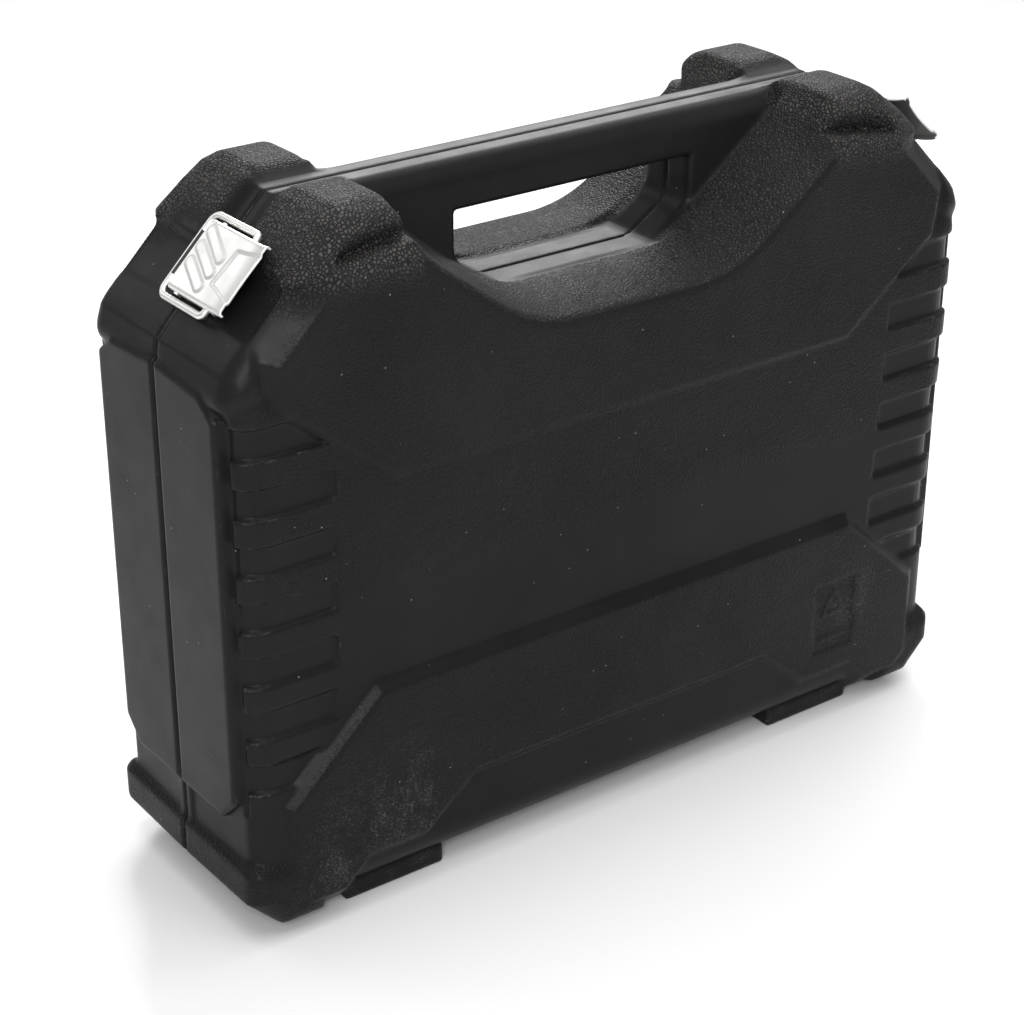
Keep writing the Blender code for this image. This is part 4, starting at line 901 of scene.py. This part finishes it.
# ------------------------------------------------------------------ settings
class TOOLCASE_PG_shape(bpy.types.PropertyGroup):
    """Sizes of the sculpted skins."""

    grid_step: bpy.props.FloatProperty(
        name="Grid step", description="Spacing of the samples that the skins are built from",
        default=1.2 * MM, unit="LENGTH", precision=5)
    skin_triangles: bpy.props.IntProperty(
        name="Skin triangles", description="Triangles kept in each half's skin", default=170000)
    knurl_pitch: bpy.props.FloatProperty(
        name="Knurl pitch", description="Spacing of the bars round a socket", default=1.5 * MM, unit="LENGTH",
        precision=5)
    grip_rings: bpy.props.IntProperty(
        name="Grip rings", description="Rings on each tool's grip", default=8, min=2)


class TOOLCASE_PG_finish(bpy.types.PropertyGroup):
    """Colours of the finishes."""

    plastic: bpy.props.FloatVectorProperty(
        name="Case plastic", description="Colour of the moulded halves", subtype="COLOR",
        default=(0.0085, 0.0085, 0.009))
    insert: bpy.props.FloatVectorProperty(
        name="Insert", description="Colour of the tray and the lid's liner", subtype="COLOR",
        default=(0.035, 0.036, 0.038))
    steel: bpy.props.FloatVectorProperty(
        name="Latch steel", description="Colour of the levers and wires", subtype="COLOR",
        default=(0.93, 0.93, 0.91))
    chrome: bpy.props.FloatVectorProperty(
        name="Tool chrome", description="Colour of the tools' plating", subtype="COLOR",
        default=(0.74, 0.75, 0.76))
    rubber: bpy.props.FloatVectorProperty(
        name="Grip rubber", description="Colour of the grips", subtype="COLOR", default=(0.016, 0.016, 0.017))
    floor: bpy.props.FloatVectorProperty(
        name="Floor", description="Colour of the floor", subtype="COLOR", default=(0.93, 0.93, 0.93))


class TOOLCASE_PG_studio(bpy.types.PropertyGroup):
    """Camera and light."""

    lens: bpy.props.FloatProperty(
        name="Lens", description="Focal length on a 36 mm sensor", default=83.8, unit="CAMERA")
    azimuth: bpy.props.FloatProperty(
        name="Azimuth", description="How far round the camera stands", default=math.radians(-36.427),
        subtype="ANGLE")
    elevation: bpy.props.FloatProperty(
        name="Elevation", description="How far above the floor it looks from", default=math.radians(26.25),
        subtype="ANGLE")
    roll: bpy.props.FloatProperty(
        name="Roll", description="Turn about the line of sight", default=math.radians(0.169), subtype="ANGLE")
    place: bpy.props.FloatVectorProperty(
        name="Place", description="Where the camera stands", default=(-0.5715, -0.7456, 0.5857),
        subtype="TRANSLATION", unit="LENGTH")
    sky: bpy.props.FloatProperty(name="Sky", description="Strength of the white surround", default=0.45)
    overhead: bpy.props.FloatProperty(
        name="Overhead light", description="Power of the large light above", default=11.0, unit="POWER")
    back: bpy.props.FloatProperty(
        name="Back light", description="Power of the light behind the case", default=12.0, unit="POWER")
    left: bpy.props.FloatProperty(
        name="Left light", description="Power of the light behind the case and to its left", default=2.0,
        unit="POWER")
    right: bpy.props.FloatProperty(
        name="Right light", description="Power of the light above and to the right", default=7.0, unit="POWER")
    front: bpy.props.FloatProperty(
        name="Front light", description="Power of the small light beyond the camera", default=11.0, unit="POWER")


# ------------------------------------------------------------------ operators
FLOOR_REACH = 6.0
LIT_SPOT = (0.0, 0.0, 0.15)
# lamp, its place and its side, in metres
LAMPS = (("overhead", (-0.1, -0.3, 1.5), 1.2), ("left", (-0.75, 1.25, 1.05), 0.7),
         ("right", (0.85, 0.15, 1.3), 0.75), ("back", (0.75, 1.15, 0.98), 0.75),
         ("front", (-0.95, -1.15, 1.0), 0.5))


class TOOLCASE_OT_shells(bpy.types.Operator):
    """Sculpt the two moulded halves"""

    bl_idname = "toolcase.shells"
    bl_label = "Moulded halves"

    def execute(self, context):
        make_half("lid_skin", -1, "front_half", "front_shell")
        make_half("back_skin", 1, "back_half", "back_shell")
        return {"FINISHED"}


class TOOLCASE_OT_levers(bpy.types.Operator):
    """Press the two latch levers"""

    bl_idname = "toolcase.levers"
    bl_label = "Latch levers"

    def execute(self, context):
        for word, across in LATCH_SIDES:
            make_lever(word, across)
        return {"FINISHED"}


class TOOLCASE_OT_bails(bpy.types.Operator):
    """Bend the two wire loops"""

    bl_idname = "toolcase.bails"
    bl_label = "Wire loops"

    def execute(self, context):
        for word, across in LATCH_SIDES:
            make_bail(word, across)
        return {"FINISHED"}


class TOOLCASE_OT_fittings(bpy.types.Operator):
    """Finish the keepers, blocks and pins"""

    bl_idname = "toolcase.fittings"
    bl_label = "Keepers and pins"

    def execute(self, context):
        for word, _across in LATCH_SIDES:
            paint_node(f"{word}_keeper", "fitting")
            paint_node(f"{word}_latch_block", "fitting")
            paint_node(f"{word}_pivot_pin", "latch")
            paint_node(f"hinge_pin_{word}", "latch")
        return {"FINISHED"}


class TOOLCASE_OT_insert(bpy.types.Operator):
    """Finish the tray and the lid's liner"""

    bl_idname = "toolcase.insert"
    bl_label = "Tray and liner"

    def execute(self, context):
        paint_node("back_tray", "insert")
        paint_node("lid_liner", "insert")
        return {"FINISHED"}


class TOOLCASE_OT_tools(bpy.types.Operator):
    """Finish the wrenches, sockets and bars"""

    bl_idname = "toolcase.tools"
    bl_label = "Tools"

    def execute(self, context):
        for node in sorted(NODES):
            if node.startswith(("large_socket", "small_", "plug_", "extension", "tee_bar", "ratchet", "spinner")):
                dark = node.endswith(("_grip", "_button", "_selector"))
                paint_node(node, "rubber" if dark else "tool")
        return {"FINISHED"}


class TOOLCASE_OT_ridges(bpy.types.Operator):
    """Lay the sockets' knurled bands and the grips' rings"""

    bl_idname = "toolcase.ridges"
    bl_label = "Bands and rings"

    def execute(self, context):
        case = context.scene.tool_case
        band, row = ridge_band(), ring_row()
        bands = []
        for node in sorted(NODES):
            if not node.startswith(("large_socket", "small_socket", "plug_socket")):
                continue
            low, high = corner(node, 0) * MM, corner(node, 1) * MM
            radius = (high[0] - low[0]) / 2
            mesh = band.lay("tool", Count=int(2 * math.pi * radius / case.knurl_pitch), Radius=radius,
                            Bar_rise=case.knurl_pitch / 2, Bar_width=case.knurl_pitch / 2,
                            Bar_length=KNURL_LONG * (high[1] - low[1]))
            middle = ((low[0] + high[0]) / 2, low[1] + KNURL_PLACE * (high[1] - low[1]), (low[2] + high[2]) / 2)
            mesh.transform(Matrix.Translation(middle) @ Matrix.Rotation(-math.pi / 2, 4, "X"))
            bands.append(mesh)
        knurls = joined("socket_knurls", bands)
        add_piece("socket_knurls", knurls, "tool", "back_half")
        knurls.polygons.foreach_set("use_smooth", [False] * len(knurls.polygons))
        rings = []
        for node, start, end, first, last in GRIP_RINGS:
            low, high = corner(node, 0) * MM, corner(node, 1) * MM
            radius, long = (high[2] - low[2]) / 2, high[0] - low[0]
            mesh = row.lay("rubber", Count=case.grip_rings, Pitch=(end - start) * long / (case.grip_rings - 1),
                           Radius=first * radius, Wire=GRIP_WIRE * radius, Taper=last / first - 1)
            middle = (low[0] + start * long, (low[1] + high[1]) / 2, (low[2] + high[2]) / 2)
            mesh.transform(Matrix.Translation(middle) @ Matrix.Rotation(math.pi / 2, 4, "Y"))
            rings.append(mesh)
        add_piece("grip_rings", joined("grip_rings", rings), "rubber", "back_half")
        return {"FINISHED"}


class TOOLCASE_OT_stage(bpy.types.Operator):
    """Set out the floor, the lights and the camera"""

    bl_idname = "toolcase.stage"
    bl_label = "Floor, light and camera"

    def execute(self, context):
        studio = context.scene.tool_case_studio
        reach = FLOOR_REACH
        floor = mesh_from("floor", np.array([(-reach, -reach, 0), (reach, -reach, 0), (reach, reach, 0),
                                             (-reach, reach, 0)], dtype=np.float32), np.array([[0, 1, 2, 3]]))
        ground = bpy.data.objects.new("floor", floor)
        floor.materials.append(finish_named("floor"))
        context.scene.collection.objects.link(ground)
        world = bpy.data.worlds.new("surround")
        world.use_nodes = True
        sky = world.node_tree.nodes["Background"]
        sky.inputs["Color"].default_value = grey(1.0)
        sky.inputs["Strength"].default_value = studio.sky
        context.scene.world = world
        context.scene.view_settings.view_transform = "Standard"
        for name, place, size in LAMPS:
            light = bpy.data.lights.new(name, "AREA")
            light.shape = "SQUARE"
            light.size = size
            light.energy = getattr(studio, name)
            lamp = bpy.data.objects.new(name, light)
            spot = Vector(place)
            aim = (Vector(LIT_SPOT) - spot).to_track_quat("-Z", "Y").to_matrix().to_4x4()
            lamp.matrix_world = Matrix.Translation(spot) @ aim
            context.scene.collection.objects.link(lamp)
        lens = bpy.data.cameras.new("camera")
        lens.lens = studio.lens
        lens.sensor_width = 36.0
        camera = bpy.data.objects.new("camera", lens)
        camera.matrix_world = (
            Matrix.Translation(Vector(studio.place)) @ Matrix.Rotation(studio.azimuth, 4, "Z")
            @ Matrix.Rotation(math.pi / 2 - studio.elevation, 4, "X") @ Matrix.Rotation(studio.roll, 4, "Z"))
        context.scene.collection.objects.link(camera)
        context.scene.camera = camera
        return {"FINISHED"}


STEPS = (TOOLCASE_OT_shells, TOOLCASE_OT_levers, TOOLCASE_OT_bails, TOOLCASE_OT_fittings, TOOLCASE_OT_insert,
         TOOLCASE_OT_tools, TOOLCASE_OT_ridges, TOOLCASE_OT_stage)


class TOOLCASE_PT_panel(bpy.types.Panel):
    """Lists the making steps and their settings"""

    bl_idname = "TOOLCASE_PT_panel"
    bl_label = "Tool Case"
    bl_space_type = "VIEW_3D"
    bl_region_type = "UI"
    bl_category = "Tool Case"

    def draw(self, context):
        for step in STEPS:
            self.layout.operator(step.bl_idname)
        for group in (context.scene.tool_case, context.scene.tool_case_finish, context.scene.tool_case_studio):
            for name in group.__annotations__:
                self.layout.prop(group, name)


GROUPS = (("tool_case", TOOLCASE_PG_shape), ("tool_case_finish", TOOLCASE_PG_finish),
          ("tool_case_studio", TOOLCASE_PG_studio))


def register():
    for name, group in GROUPS:
        bpy.utils.register_class(group)
        setattr(bpy.types.Scene, name, bpy.props.PointerProperty(type=group))
    for made in STEPS + (TOOLCASE_PT_panel,):
        bpy.utils.register_class(made)


def unregister():
    for made in reversed(STEPS + (TOOLCASE_PT_panel,)):
        bpy.utils.unregister_class(made)
    for name, group in reversed(GROUPS):
        delattr(bpy.types.Scene, name)
        bpy.utils.unregister_class(group)


def main():
    register()
    for step in STEPS:
        group, name = step.bl_idname.split(".")
        getattr(getattr(bpy.ops, group), name)()


if __name__ == "__main__":
    main()
